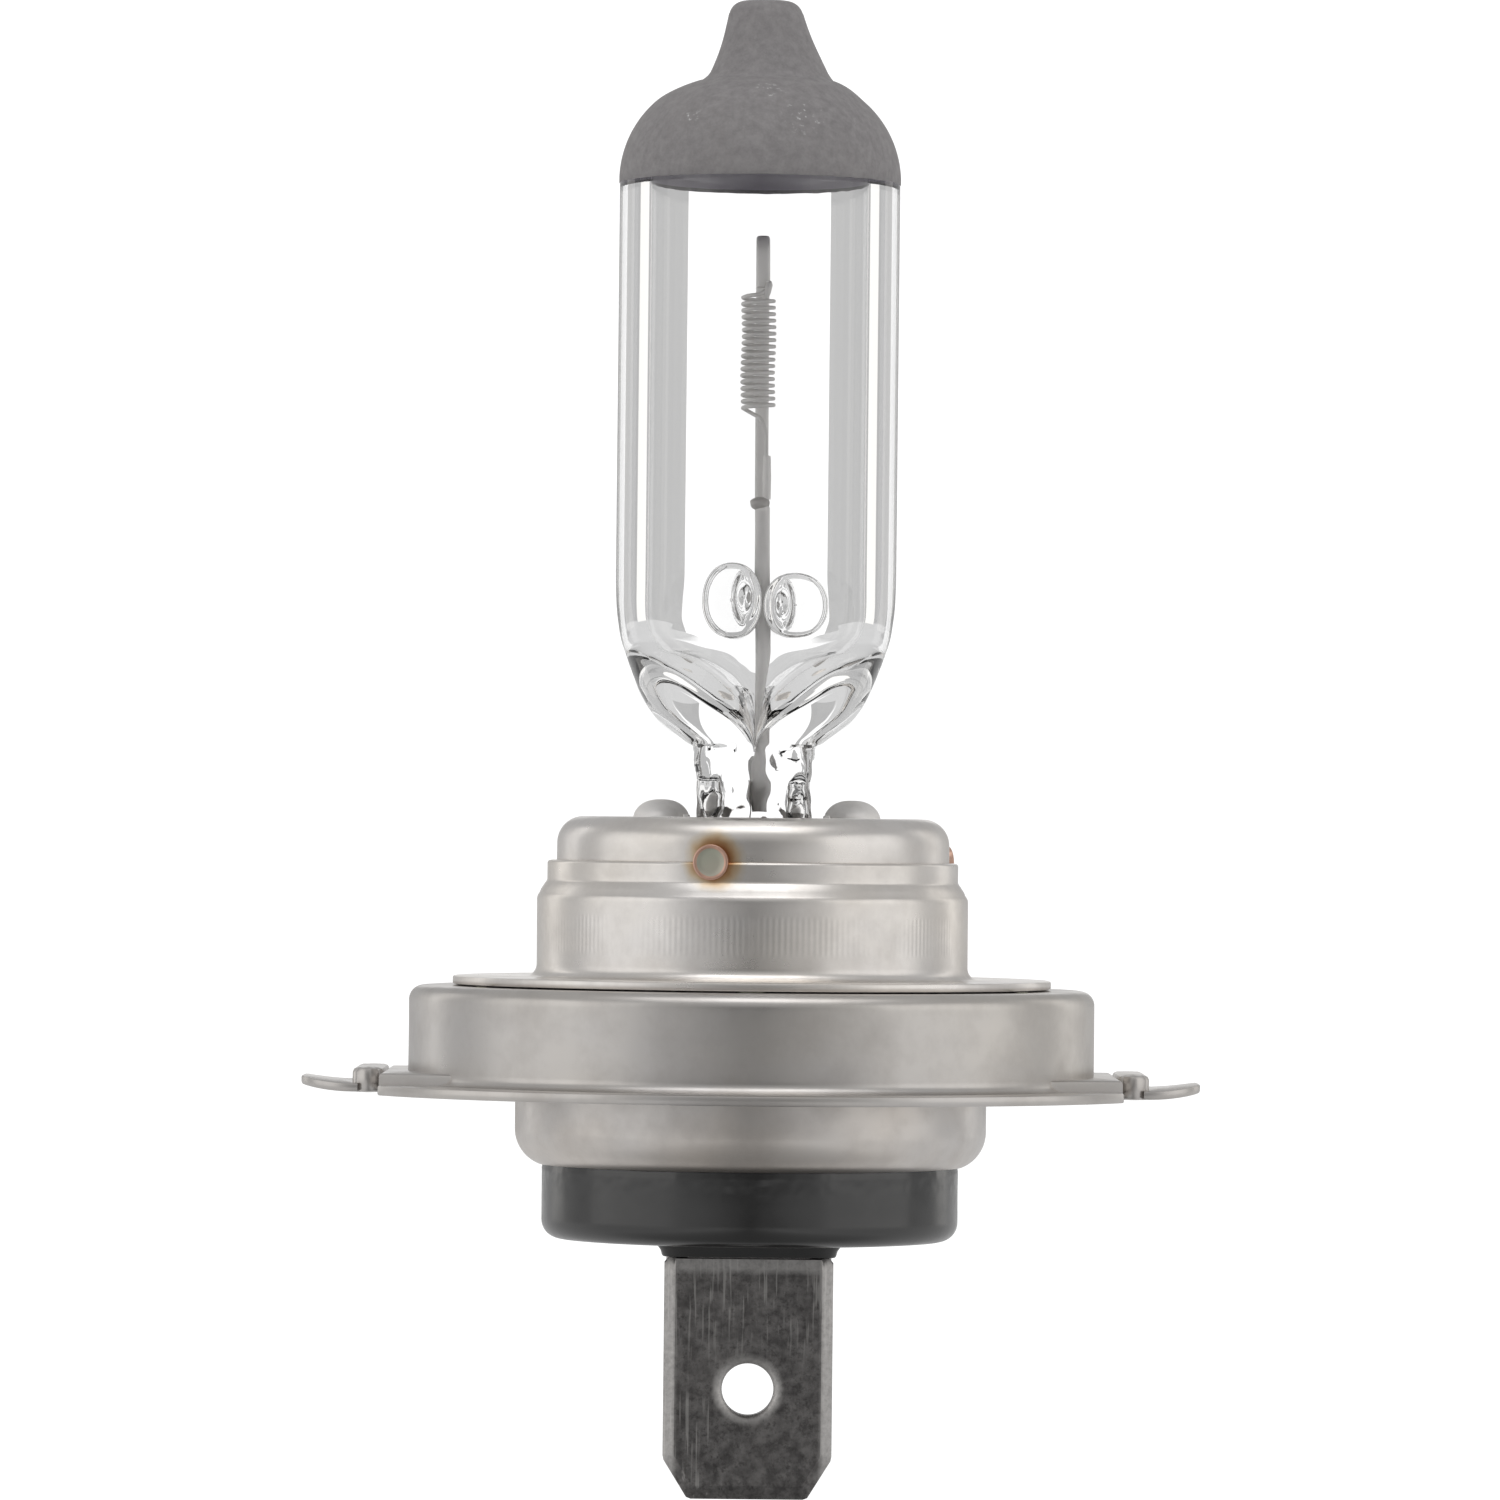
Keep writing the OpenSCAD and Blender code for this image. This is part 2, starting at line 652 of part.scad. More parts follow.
// laser weld beads that join the lip of the sleeve to the cup
module sleeve_weld_spots() {
    color(weld_colour)
        difference() {
            for (k = [0 : 2])
                rotate([0, 0, weld_azimuth + 120 * k])
                    translate([cup_r - 0.4, 0, lip_top_z]) rotate([0, 90, 0])
                        cylinder(h = lip_r - cup_r + 0.48, r = 0.55);
            translate([0, 0, lip_low_z - 1]) cylinder(h = 4, r = cup_r);
            translate([0, 0, lip_low_z - 1]) cylinder(h = lip_top_z - lip_low_z + 1, r = lip_r);
        }
}

// ring of small discs on a circle
module discs(r_at, r_disc, z0, z1, azimuth) {
    for (k = [0 : 2])
        rotate([0, 0, azimuth + 120 * k]) translate([r_at, 0, z0]) cylinder(h = z1 - z0, r = r_disc);
}

// weld discs between the sleeve flange and the top of the ring
module flange_weld_spots() {
    color(weld_colour) discs(10.4, 0.6, ring_top_z, flare_z - flare_r - sleeve_t, 30);
}

// ---- prefocus ring ----

// side lug with its reference boss, drawn on the +X side
module side_lug() {
    c = boss_edge / 3;
    difference() {
        translate([0, lug_half_y, 0])
            rotate([90, 0, 0])
                linear_extrude(height = 2 * lug_half_y)
                    polygon([[boss_start_x, flange_low_z], [boss_end_x, flange_low_z],
                             [boss_end_x, -boss_edge], [boss_end_x - c, -c],
                             [boss_end_x - boss_edge, 0], [boss_start_x, 0]]);
        bar(boss_start_x + ring_t, boss_end_x - ring_t, ring_t - lug_half_y, lug_half_y - ring_t,
            flange_low_z - 1, -ring_t);
    }
    // swept tip of the lug, a slice of a wide tube cut to the lug outline
    intersection() {
        difference() {
            translate([boss_end_x, 0, flange_top_z + lug_sweep_r + lug_lift]) rotate([90, 0, 0])
                cylinder(h = 4 * lug_half_y, r = lug_sweep_r + ring_t, center = true);
            translate([boss_end_x, 0, flange_top_z + lug_sweep_r + lug_lift]) rotate([90, 0, 0])
                cylinder(h = 4 * lug_half_y + 1, r = lug_sweep_r, center = true);
        }
        translate([0, 0, flange_low_z - 1]) linear_extrude(height = 3) lug_outline();
    }
}

// outline of the lug tip from above, with its two rounded corners
module lug_outline() {
    difference() {
        translate([boss_end_x - ring_t / 2, lug_trim - lug_half_y])
            square([lug_end_x - boss_end_x + ring_t / 2, 2 * (lug_half_y - lug_trim)]);
        for (s = [0, 1]) mirror([0, s])
            difference() {
                translate([lug_end_x - lug_corner_r, lug_half_y - lug_trim - lug_corner_r])
                    square([lug_corner_r + 1, lug_corner_r + 1]);
                translate([lug_end_x - lug_corner_r, lug_half_y - lug_trim - lug_corner_r])
                    circle(r = lug_corner_r);
            }
    }
}

// raised pad between the ring wall and the side lug
module pad() {
    difference() {
        bar(ring_r - 2.6, flange_flat_x, -pad_half_y, pad_half_y, flange_top_z - 0.06, pad_top_z);
        translate([0, 0, flange_low_z - 1]) cylinder(h = 3, r = ring_r - ring_t / 2);
    }
}

// hollows under the pad, one on each side of the lug
module pad_hollows() {
    for (s = [-1, 1])
        difference() {
            bar(ring_r - 2.6, flange_flat_x - ring_t, s * (lug_half_y + pad_half_y - ring_t) / 2 - 1.5,
                s * (lug_half_y + pad_half_y - ring_t) / 2 + 1.5, flange_low_z - 1, pad_top_z - ring_t);
            translate([0, 0, flange_low_z - 2]) cylinder(h = 4, r = ring_r + ring_fillet_r + 0.15);
        }
}

module rear_lug() {
    low_y = flange_r - 1.6;
    top_y = flange_r - 0.1;
    difference() {
        bar(-rear_lug_half_x, rear_lug_half_x, low_y, top_y, flange_low_z, 0);
        bar(ring_t - rear_lug_half_x, rear_lug_half_x - ring_t, low_y + ring_t, top_y - ring_t,
            flange_low_z - 1, -ring_t);
    }
    bar(-rear_lug_half_x, rear_lug_half_x, top_y - 0.3, flange_r + 0.9, flange_low_z, flange_top_z);
}

// profile of the round ring: top face, rounded edge, wall, fillet and flat flange
module ring_profile() {
    fillet_x = ring_r + ring_fillet_r;
    fillet_z = flange_top_z + ring_fillet_r;
    round_x = ring_r - ring_round_r;
    in_r = ring_r - ring_t;
    difference() {
        polygon([[ring_hole_r, ring_top_z], [ring_r, ring_top_z], [ring_r, fillet_z],
                 [fillet_x, fillet_z], [fillet_x, flange_top_z], [flange_r, flange_top_z],
                 [flange_r, flange_low_z], [in_r, flange_low_z], [in_r, ring_wall_top_z],
                 [round_x, ring_wall_top_z], [round_x, ring_top_z - ring_t],
                 [ring_hole_r, ring_top_z - ring_t]]);
        translate([fillet_x, fillet_z]) circle(r = ring_fillet_r);
        difference() {
            translate([in_r - 1, flange_low_z - 1])
                square([fillet_x - in_r + 1, fillet_z - flange_low_z + 1]);
            translate([fillet_x, fillet_z]) circle(r = ring_fillet_r + ring_t);
        }
        difference() {
            translate([round_x, ring_wall_top_z]) square([ring_round_r + 1, ring_round_r + 1]);
            translate([round_x, ring_wall_top_z]) circle(r = ring_round_r);
        }
        intersection() {
            translate([round_x, ring_wall_top_z]) circle(r = ring_round_r - ring_t);
            translate([round_x, ring_wall_top_z]) square([ring_round_r, ring_round_r]);
        }
    }
}

module prefocus_ring() {
    color(steel_colour)
        difference() {
            union() {
                intersection() {
                    rotate_extrude() ring_profile();
                    bar(-flange_flat_x, flange_flat_x, -20, 20, -5, 5);
                }
                for (s = [0, 1]) mirror([s, 0, 0]) pad();
                for (s = [0, 1]) mirror([s, 0, 0]) side_lug();
                rear_lug();
            }
            for (s = [0, 1]) mirror([s, 0, 0]) pad_hollows();
        }
}

// ---- base shell ----

module base_shell() {
    flange_z = ring_top_z - ring_t;
    color(steel_colour)
        rotate_extrude() {
            translate([shell_r - shell_t, flange_z - shell_t])
                square([shell_flange_r - shell_r + shell_t, shell_t]);
            translate([shell_r - shell_t, shell_curl_z])
                square([shell_t, flange_z - shell_curl_z - eps]);
            intersection() {
                corner_band(shell_r - shell_curl_r, shell_curl_z, shell_curl_r,
                            shell_curl_r - shell_t, 1, -1);
                translate([insulator_r + 0.1, shell_curl_z - shell_curl_r])
                    square([shell_curl_r, shell_curl_r]);
            }
        }
}

// weld discs that stand proud of the top of the ring, over the shell flange
module shell_weld_spots() {
    color(weld_colour) discs(12.0 - 0.42, 0.22, ring_top_z, ring_top_z + 0.03, 90);
}

// ---- insulator ----

module insulator_body() {
    rotate_extrude() {
        translate([0, insulator_low_z]) square([insulator_r - insulator_round_r, 3]);
        translate([0, insulator_low_z + insulator_round_r]) square([insulator_r, 2.6]);
        intersection() {
            translate([insulator_r - insulator_round_r, insulator_low_z + insulator_round_r])
                circle(r = insulator_round_r);
            translate([0, insulator_low_z]) square([insulator_r, insulator_round_r + 0.5]);
        }
        polygon([[0, insulator_low_z + 3], [insulator_r, insulator_low_z + 3], [insulator_r, -3.1],
                 [shell_r - shell_t - 0.09, -2.45], [shell_r - shell_t - 0.09, insulator_top_z],
                 [0, insulator_top_z]]);
    }
}

module insulator() {
    color(ceramic_colour)
        difference() {
            union() {
                insulator_body();
                // each seat ends just above the shoulders of its blade
                for (s = [-1, 1])
                    bar(-seat_half_x, seat_half_x, s * blade_y - seat_half_y, s * blade_y + seat_half_y,
                        blade_top_z + seat_gap, insulator_low_z + 0.5);
            }
            for (s = [-1, 1])
                translate([0, s * blade_y, insulator_low_z])
                    cube([stem_w + 2 * stem_slot_gap, stem_t + 2 * stem_slot_gap, 20], center = true);
        }
}

// ---- contact blades ----

// outline of the blade seen from the front, with its latch hole centred at hole_z
module blade_outline(hole_z) {
    difference() {
        polygon([[-blade_w / 2, blade_top_z], [-blade_w / 2, blade_low_z + blade_corner_h],
                 [blade_corner_w - blade_w / 2, blade_low_z],
                 [blade_w / 2 - blade_corner_w, blade_low_z],
                 [blade_w / 2, blade_low_z + blade_corner_h], [blade_w / 2, blade_top_z]]);
        translate([0, hole_z]) circle(r = latch_hole_r);
    }
}

module blade(hole_z) {
    edge_t = blade_t / 4;
    color(blade_colour)
        union() {
            intersection() {
                translate([0, blade_t, 0]) rotate([90, 0, 0])
                    linear_extrude(height = 2 * blade_t) blade_outline(hole_z);
                translate([0, 0, blade_low_z - 1])
                    linear_extrude(height = blade_top_z - blade_low_z + 1)
                        polygon([[-blade_w / 2, edge_t], [-blade_w / 2, -edge_t],
                                 [blade_bevel_w - blade_w / 2, -blade_t / 2],
                                 [blade_w / 2 - blade_bevel_w, -blade_t / 2],
                                 [blade_w / 2, -edge_t], [blade_w / 2, edge_t],
                                 [blade_w / 2 - blade_bevel_w, blade_t / 2],
                                 [blade_bevel_w - blade_w / 2, blade_t / 2]]);
                rotate([90, 0, 90])
                    translate([0, 0, -blade_w])
                        linear_extrude(height = 2 * blade_w)
                            polygon([[-edge_t, blade_low_z], [edge_t, blade_low_z],
                                     [blade_t / 2, blade_low_z + 0.7], [blade_t / 2, blade_top_z],
                                     [-blade_t / 2, blade_top_z], [-blade_t / 2, blade_low_z + 0.7]]);
            }
            bar(-stem_w / 2, stem_w / 2, -stem_t / 2, stem_t / 2, blade_top_z - eps, stem_top_z);
        }
}

module blade_front() { translate([0, -blade_y, 0]) blade(latch_hole_z); }

module blade_rear() { translate([0, blade_y, 0]) blade(latch_hole_z - rear_hole_drop); }

quartz_envelope();
blackout_coating();
filament();
filament_tail_sleeve();
filament_weld();
long_inner_lead();
short_inner_lead();
bridge_rod_left();
bridge_rod_right();
foil_front();
foil_rear();
outer_lead_front();
outer_lead_rear();
holder_cup();
pinch_spring_left();
pinch_spring_right();
focus_sleeve();
sleeve_weld_spots();
flange_weld_spots();
prefocus_ring();
base_shell();
shell_weld_spots();
insulator();
blade_front();
blade_rear();
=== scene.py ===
"""Looks of a halogen headlight bulb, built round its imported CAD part.

Lengths inside the builders are millimetres in the part's own frame: the origin is on the lamp axis
in the reference plane, +Z runs to the glass tip, and the camera looks along +Y.
"""
import math

import bpy
from mathutils import Matrix, Vector, noise


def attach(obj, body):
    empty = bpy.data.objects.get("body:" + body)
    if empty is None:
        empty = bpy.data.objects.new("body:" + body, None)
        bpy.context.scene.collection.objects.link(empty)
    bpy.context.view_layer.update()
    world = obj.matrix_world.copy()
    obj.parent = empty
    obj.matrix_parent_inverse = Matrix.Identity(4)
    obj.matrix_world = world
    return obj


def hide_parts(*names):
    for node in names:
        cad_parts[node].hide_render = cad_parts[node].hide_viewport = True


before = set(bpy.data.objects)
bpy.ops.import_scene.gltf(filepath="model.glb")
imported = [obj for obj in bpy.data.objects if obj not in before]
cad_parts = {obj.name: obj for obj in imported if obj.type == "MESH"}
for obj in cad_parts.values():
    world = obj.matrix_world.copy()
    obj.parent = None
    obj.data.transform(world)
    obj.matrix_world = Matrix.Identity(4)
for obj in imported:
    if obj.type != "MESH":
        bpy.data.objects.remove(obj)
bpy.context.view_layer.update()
MM = 0.001
TAU = 2 * math.pi


# ---- camera

CAMERA_DISTANCE = 350.0
EYE_Z = 9.4
AIM_X = -0.16
AIM_Z = 12.05
ROLL_DEG = 0.6
LENS_MM = 222.6

cam_data = bpy.data.cameras.new("camera")
cam_data.lens = LENS_MM
cam_data.sensor_width = 36.0
cam_data.clip_start = 0.01
cam_data.clip_end = 20.0
camera = bpy.data.objects.new("camera", cam_data)
bpy.context.collection.objects.link(camera)
eye = Vector((AIM_X, -CAMERA_DISTANCE, EYE_Z)) * MM
aim = Vector((AIM_X, 0.0, AIM_Z)) * MM
turn = (aim - eye).to_track_quat("-Z", "Y").to_matrix().to_4x4()
roll = Matrix.Rotation(math.radians(ROLL_DEG), 4, "Z")
camera.matrix_world = Matrix.Translation(eye) @ turn @ roll
bpy.context.scene.camera = camera
bpy.context.scene.view_settings.view_transform = "Standard"
bpy.context.scene.view_settings.look = "None"


# ---- small helpers

def smooth(t):
    """Smooth step from 0 to 1."""
    t = min(max(t, 0.0), 1.0)
    return t * t * (3 - 2 * t)


def between(x, low, high, soft):
    """1 inside low..high, falling to 0 over soft on both sides."""
    return smooth((x - low) / soft + 0.5) * smooth((high - x) / soft + 0.5)


def span(a, b, count):
    """count + 1 evenly spaced values from a to b."""
    return [a + (b - a) * i / count for i in range(count + 1)]


def around(count):
    """Cosine and sine of evenly spaced angles over a full turn."""
    return [(math.cos(TAU * k / count), math.sin(TAU * k / count)) for k in range(count)]


def arc(cx, cz, r, start, stop, count):
    """Points on an arc in a profile plane, angles in degrees."""
    angles = [math.radians(a) for a in span(start, stop, count)]
    return [(cx + r * math.cos(a), cz + r * math.sin(a)) for a in angles]


def signed_volume(verts, faces):
    """Six times the enclosed volume, above 0 when the faces look outward."""
    total = 0.0
    for face in faces:
        a = Vector(verts[face[0]])
        for i in range(1, len(face) - 1):
            total += a.dot(Vector(verts[face[i]]).cross(Vector(verts[face[i + 1]])))
    return total


def mesh_object(name, verts, faces, materials):
    """Object made of vertices in millimetres and faces that count them."""
    mesh = bpy.data.meshes.new(name)
    mesh.from_pydata([Vector(v) * MM for v in verts], [], faces)
    for material in materials:
        mesh.materials.append(material)
    obj = bpy.data.objects.new(name, mesh)
    bpy.context.collection.objects.link(obj)
    return obj


class Shell:
    """Closed surfaces that together make one piece, in millimetres."""

    def __init__(self):
        self.verts = []
        self.faces = []
        self.slots = []

    def add(self, verts, faces, outward=True, slot=None):
        """Adds a closed surface and turns its faces outward, or inward for a hollow.

        slot tells the material number of a face and is 0 everywhere when left out.
        """
        if (signed_volume(verts, faces) > 0) != outward:
            faces = [tuple(reversed(f)) for f in faces]
        base = len(self.verts)
        self.verts += [tuple(v) for v in verts]
        self.faces += [tuple(base + i for i in f) for f in faces]
        self.slots += [slot(f, verts) if slot else 0 for f in faces]
        return self

    def piece(self, name, materials, cad_nodes, sharp_deg):
        """Visual piece that stands for these CAD nodes; edges bent more than sharp_deg stay crisp."""
        obj = mesh_object(name, self.verts, self.faces, materials)
        mesh = obj.data
        mesh.validate()
        mesh.polygons.foreach_set("material_index", self.slots)
        mesh.shade_smooth()
        mesh.set_sharp_from_angle(angle=math.radians(sharp_deg))
        mesh.update()
        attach(obj, "root")
        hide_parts(*cad_nodes)
        return obj


def loft(rows, closed_rows=False):
    """Surface through equal closed rows of points, capped at both ends or joined end to end."""
    n = len(rows[0])
    verts = [p for row in rows for p in row]
    faces = []
    steps = len(rows) if closed_rows else len(rows) - 1
    for i in range(steps):
        j = (i + 1) % len(rows)
        for k in range(n):
            m = (k + 1) % n
            faces.append((i * n + k, i * n + m, j * n + m, j * n + k))
    if not closed_rows:
        for i in (0, len(rows) - 1):
            centre = sum((Vector(p) for p in rows[i]), Vector()) / n
            verts.append(tuple(centre))
            faces += [(i * n + k, i * n + (k + 1) % n, len(verts) - 1)[:: 1 if i else -1]
                      for k in range(n)]
    return verts, faces


def revolve(profile, segments=360, wobble=None):
    """Ring solid from a closed profile of (r, z) points; wobble tells what is added to a radius."""
    rows = []
    for k in range(segments):
        a = TAU * k / segments
        row = []
        for r, z in profile:
            grown = r + (wobble(a, z) if wobble else 0.0)
            row.append((grown * math.cos(a), grown * math.sin(a), z))
        rows.append(row)
    return loft(rows, closed_rows=True)


def tube(points, radius, sides=16, normal=None, power=2.0):
    """Wire along a path; radius is one number or a list, power above 2 gives a squarer section."""
    points = [Vector(p) for p in points]
    radii = radius if isinstance(radius, list) else [radius] * len(points)
    section = full_outline(1.0, 1.0, power, sides // 4)
    rows = []
    for i, p in enumerate(points):
        ahead = points[min(i + 1, len(points) - 1)] - points[max(i - 1, 0)]
        ahead.normalize()
        if normal is None:
            normal = ahead.orthogonal().normalized()
        normal = (normal - ahead * normal.dot(ahead)).normalized()
        side = ahead.cross(normal)
        rows.append([tuple(p + radii[i] * (c * normal + s * side)) for c, s in section])
    return loft(rows)


def rounded_path(points, bend, steps=8):
    """Path through points with each inner corner rounded by a curve that starts bend away."""
    points = [Vector(p) for p in points]
    out = [points[0]]
    for before, corner, after in zip(points, points[1:], points[2:]):
        a = corner + (before - corner).normalized() * min(bend, (before - corner).length * 0.49)
        b = corner + (after - corner).normalized() * min(bend, (after - corner).length * 0.49)
        for t in span(0.0, 1.0, steps):
            out.append(a * (1 - t) ** 2 + corner * 2 * t * (1 - t) + b * t * t)
    out.append(points[-1])
    return out


def dense(points, step):
    """Adds points so that no leg of a path or profile is longer than step."""
    out = [tuple(points[0])]
    for a, b in zip(points, points[1:]):
        count = max(1, math.ceil(math.dist(a, b) / step))
        for i in range(1, count + 1):
            out.append(tuple(p + (q - p) * i / count for p, q in zip(a, b)))
    return out


# ---- materials

class Nodes:
    """Small wrapper to build node materials; lengths in its values are metres."""

    def __init__(self, name):
        self.mat = bpy.data.materials.new(name)
        self.mat.use_nodes = True
        self.tree = self.mat.node_tree
        self.shader = self.tree.nodes["Principled BSDF"]
        self.coord = self.node("ShaderNodeTexCoord").outputs["Object"]

    def put(self, socket, value):
        """Links the value when it comes out of a node, and else sets it on the socket."""
        if isinstance(value, bpy.types.NodeSocket):
            self.tree.links.new(value, socket)
        elif socket.type == "RGBA":
            socket.default_value = (*value, 1.0)
        else:
            socket.default_value = value

    def fill(self, node, inputs):
        for key, value in inputs.items():
            self.put(node.inputs[key.replace("_", " ")], value)

    def node(self, kind, **inputs):
        made = self.tree.nodes.new(kind)
        self.fill(made, inputs)
        return made

    def set(self, **inputs):
        """Sets values of the main shader."""
        self.fill(self.shader, inputs)

    def noise(self, scale, detail=4.0, rough=0.6, stretch=(1, 1, 1), location=(0, 0, 0),
              rotation=(0, 0, 0)):
        mapping = self.node("ShaderNodeMapping", Vector=self.coord, Scale=stretch,
                            Location=location, Rotation=rotation)
        made = self.node("ShaderNodeTexNoise", Vector=mapping.outputs["Vector"], Scale=scale,
                         Detail=detail, Roughness=rough)
        return made.outputs["Fac"]

    def ramp(self, fac, stops):
        made = self.node("ShaderNodeValToRGB", Fac=fac)
        ramp = made.color_ramp
        while len(ramp.elements) < len(stops):
            ramp.elements.new(0.5)
        for element, (pos, colour) in zip(ramp.elements, stops):
            element.position = pos
            element.color = (*colour, 1.0)
        return made.outputs["Color"]

    def math(self, kind, a, b=0.0):
        made = self.tree.nodes.new("ShaderNodeMath")
        made.operation = kind
        self.put(made.inputs[0], a)
        self.put(made.inputs[1], b)
        return made.outputs["Value"]

    def plus(self, a, b):
        return self.math("ADD", a, b)

    def times(self, a, b):
        return self.math("MULTIPLY", a, b)

    def spread(self, value, low, high, to_low=0.0, to_high=1.0, curve="LINEAR"):
        """Maps low..high to to_low..to_high, clamped."""
        made = self.node("ShaderNodeMapRange", Value=value, From_Min=low, From_Max=high,
                         To_Min=to_low, To_Max=to_high)
        made.interpolation_type = curve
        return made.outputs["Result"]

    def mix(self, fac, a, b, kind="MIX"):
        made = self.tree.nodes.new("ShaderNodeMix")
        made.data_type = "RGBA"
        made.blend_type = kind
        for key, value in (("Factor_Float", fac), ("A_Color", a), ("B_Color", b)):
            self.put(next(s for s in made.inputs if s.identifier == key), value)
        return next(s for s in made.outputs if s.identifier == "Result_Color")

    def axis(self, name):
        made = self.node("ShaderNodeSeparateXYZ", Vector=self.coord)
        return made.outputs[name]

    def distance(self, point_mm):
        made = self.tree.nodes.new("ShaderNodeVectorMath")
        made.operation = "DISTANCE"
        self.put(made.inputs[0], self.coord)
        self.put(made.inputs[1], [v * MM for v in point_mm])
        return made.outputs["Value"]

    def bump(self, height, strength, depth_mm):
        made = self.node("ShaderNodeBump", Strength=strength, Distance=depth_mm * MM, Height=height)
        self.set(Normal=made.outputs["Normal"])

    def glow(self, strength, colour=(1.0, 1.0, 1.0)):
        """Makes the surface shine by itself instead of using the main shader."""
        light = self.node("ShaderNodeEmission", Color=colour, Strength=strength)
        surface = self.tree.nodes["Material Output"].inputs["Surface"]
        self.put(surface, light.outputs["Emission"])


# places that materials and pieces share, in mm
BLADE_TOP = -6.9
BLADE_LOW = -15.9
HOLE_Z = -11.8
REAR_HOLE_DROP = 0.5
HOLE_R = 0.985
BLADE_Y = 4.1
BLADE_HALF_X = 3.15
WELD_AZIMUTH_DEG = 258.3
WELD_Z = 7.83
WELD_R = 7.78
KNURL_LOW = 4.4
KNURL_HIGH = 5.8
KNURL_COUNT = 230


def weld_points():
    """Centres of the three weld beads at the sleeve lip."""
    out = []
    for k in range(3):
        a = math.radians(WELD_AZIMUTH_DEG + 120 * k)
        out.append((WELD_R * math.cos(a), WELD_R * math.sin(a), WELD_Z))
    return out


def glass_material():
    n = Nodes("quartz_clear")
    n.set(Base_Color=(1.0, 1.0, 1.0), Roughness=0.0, IOR=1.458, Transmission_Weight=1.0)
    return n.mat


def steel_material(name, base, warm, rough, heat=False, knurl=False, streak=0.5, seed=0.0):
    """Satin rolled steel with mottling, fine grain and faint drawing streaks."""
    n = Nodes(name)
    mottle = n.noise(420.0, 5.0, 0.65, (1, 1, 1), (seed, 0, 0))
    blotch = n.noise(120.0, 3.0, 0.5, (1, 1, 1.6), (0, seed, 0))
    streaks = n.noise(300.0, 3.0, 0.6, (1, 1, 6.0), (0, 0, seed))
    colour = n.mix(n.spread(blotch, 0.35, 0.65), base, warm)
    dark = n.mix(n.spread(mottle, 0.42, 0.72, 0.0, 0.22), colour, (0.25, 0.22, 0.2))
    rough_out = n.plus(n.spread(mottle, 0.3, 0.7, rough - 0.05, rough + 0.06),
                       n.spread(streaks, 0.3, 0.7, -0.03 * streak, 0.03 * streak))
    height = n.plus(n.times(mottle, 0.6), n.times(streaks, 0.5 * streak))
    if heat:
        # brown tint round each weld bead, a little to its upper right
        for x, y, z in weld_points():
            shifted = (x + 0.12, y, z + 0.1)
            wave = n.spread(n.noise(900.0, 2.0), 0.2, 0.8, -0.16 * MM, 0.16 * MM)
            wavy = n.plus(n.distance(shifted), wave)
            tint = n.ramp(n.spread(wavy, 0.65 * MM, 1.3 * MM),
                          [(0.0, (0.5, 0.25, 0.12)), (0.18, (0.62, 0.38, 0.2)),
                           (0.45, (0.86, 0.7, 0.5)), (0.72, (0.95, 0.9, 0.82)),
                           (1.0, (1.0, 1.0, 1.0))])
            dark = n.mix(1.0, dark, tint, "MULTIPLY")
    if knurl:
        z = n.axis("Z")
        soft = 0.1
        above = n.spread(z, (KNURL_LOW - soft) * MM, (KNURL_LOW + soft) * MM)
        below = n.spread(z, (KNURL_HIGH - soft) * MM, (KNURL_HIGH + soft) * MM, 1.0, 0.0)
        angle = n.math("ARCTAN2", n.axis("Y"), n.axis("X"))
        teeth = n.math("SINE", n.times(angle, KNURL_COUNT))
        patchy = n.spread(n.noise(240.0, 2.0), 0.3, 0.6, 0.3, 1.0)
        band = n.times(above, below)
        lines = n.times(n.times(teeth, band), patchy)
        height = n.plus(height, n.times(lines, 0.6))
    n.bump(height, 0.36, 0.009)
    n.set(Base_Color=dark, Metallic=1.0, Roughness=rough_out)
    return n.mat


def coating_material():
    """Matt grey coating with a fine grain, pale specks and a few chipped white flecks."""
    n = Nodes("coating_grey")
    fine = n.noise(2600.0, 3.0, 0.7)
    cloud = n.noise(260.0, 3.0, 0.5)
    base = n.mix(n.spread(fine, 0.3, 0.7), (0.24, 0.229, 0.233), (0.33, 0.316, 0.32))
    base = n.mix(n.spread(cloud, 0.35, 0.65, 0.0, 0.2), base, (0.31, 0.293, 0.285))
    specks = n.node("ShaderNodeTexVoronoi", Vector=n.coord, Scale=520.0)
    speck = n.spread(specks.outputs["Distance"], 0.03, 0.07, 1.0, 0.0)
    base = n.mix(n.times(speck, 0.5), base, (0.45, 0.45, 0.45))
    # a few chipped white flecks on the front of the crown
    chips = n.spread(n.noise(5200.0, 2.0, 0.6), 0.62, 0.7)
    chipped_spots = (((1.62, -4.35, 35.6), 0.95), ((0.3, -3.6, 36.5), 0.7), ((-2.6, -3.9, 35.6), 0.5))
    for point, reach in chipped_spots:
        near = n.spread(n.distance(point), reach * 0.4 * MM, reach * MM, 0.75, 0.0)
        base = n.mix(n.times(chips, near), base, (0.75, 0.75, 0.76))
    n.bump(fine, 0.5, 0.02)
    n.set(Base_Color=base, Roughness=0.62, Specular_IOR_Level=0.35)
    return n.mat


def coating_back_material():
    """The coating as seen from inside through the glass."""
    n = Nodes("coating_back")
    n.set(Base_Color=(0.5, 0.47, 0.54), Roughness=0.4, Specular_IOR_Level=0.6)
    return n.mat


def wire_material(name, low, high, rough, metal=0.25):
    """Drawn wire between two greys, with grain along its length."""
    n = Nodes(name)
    grain = n.noise(900.0, 4.0, 0.6, (1, 1, 0.3))
    n.set(Base_Color=n.mix(n.spread(grain, 0.35, 0.65), low, high), Metallic=metal,
          Roughness=rough)
    n.bump(grain, 0.3, 0.01)
    return n.mat


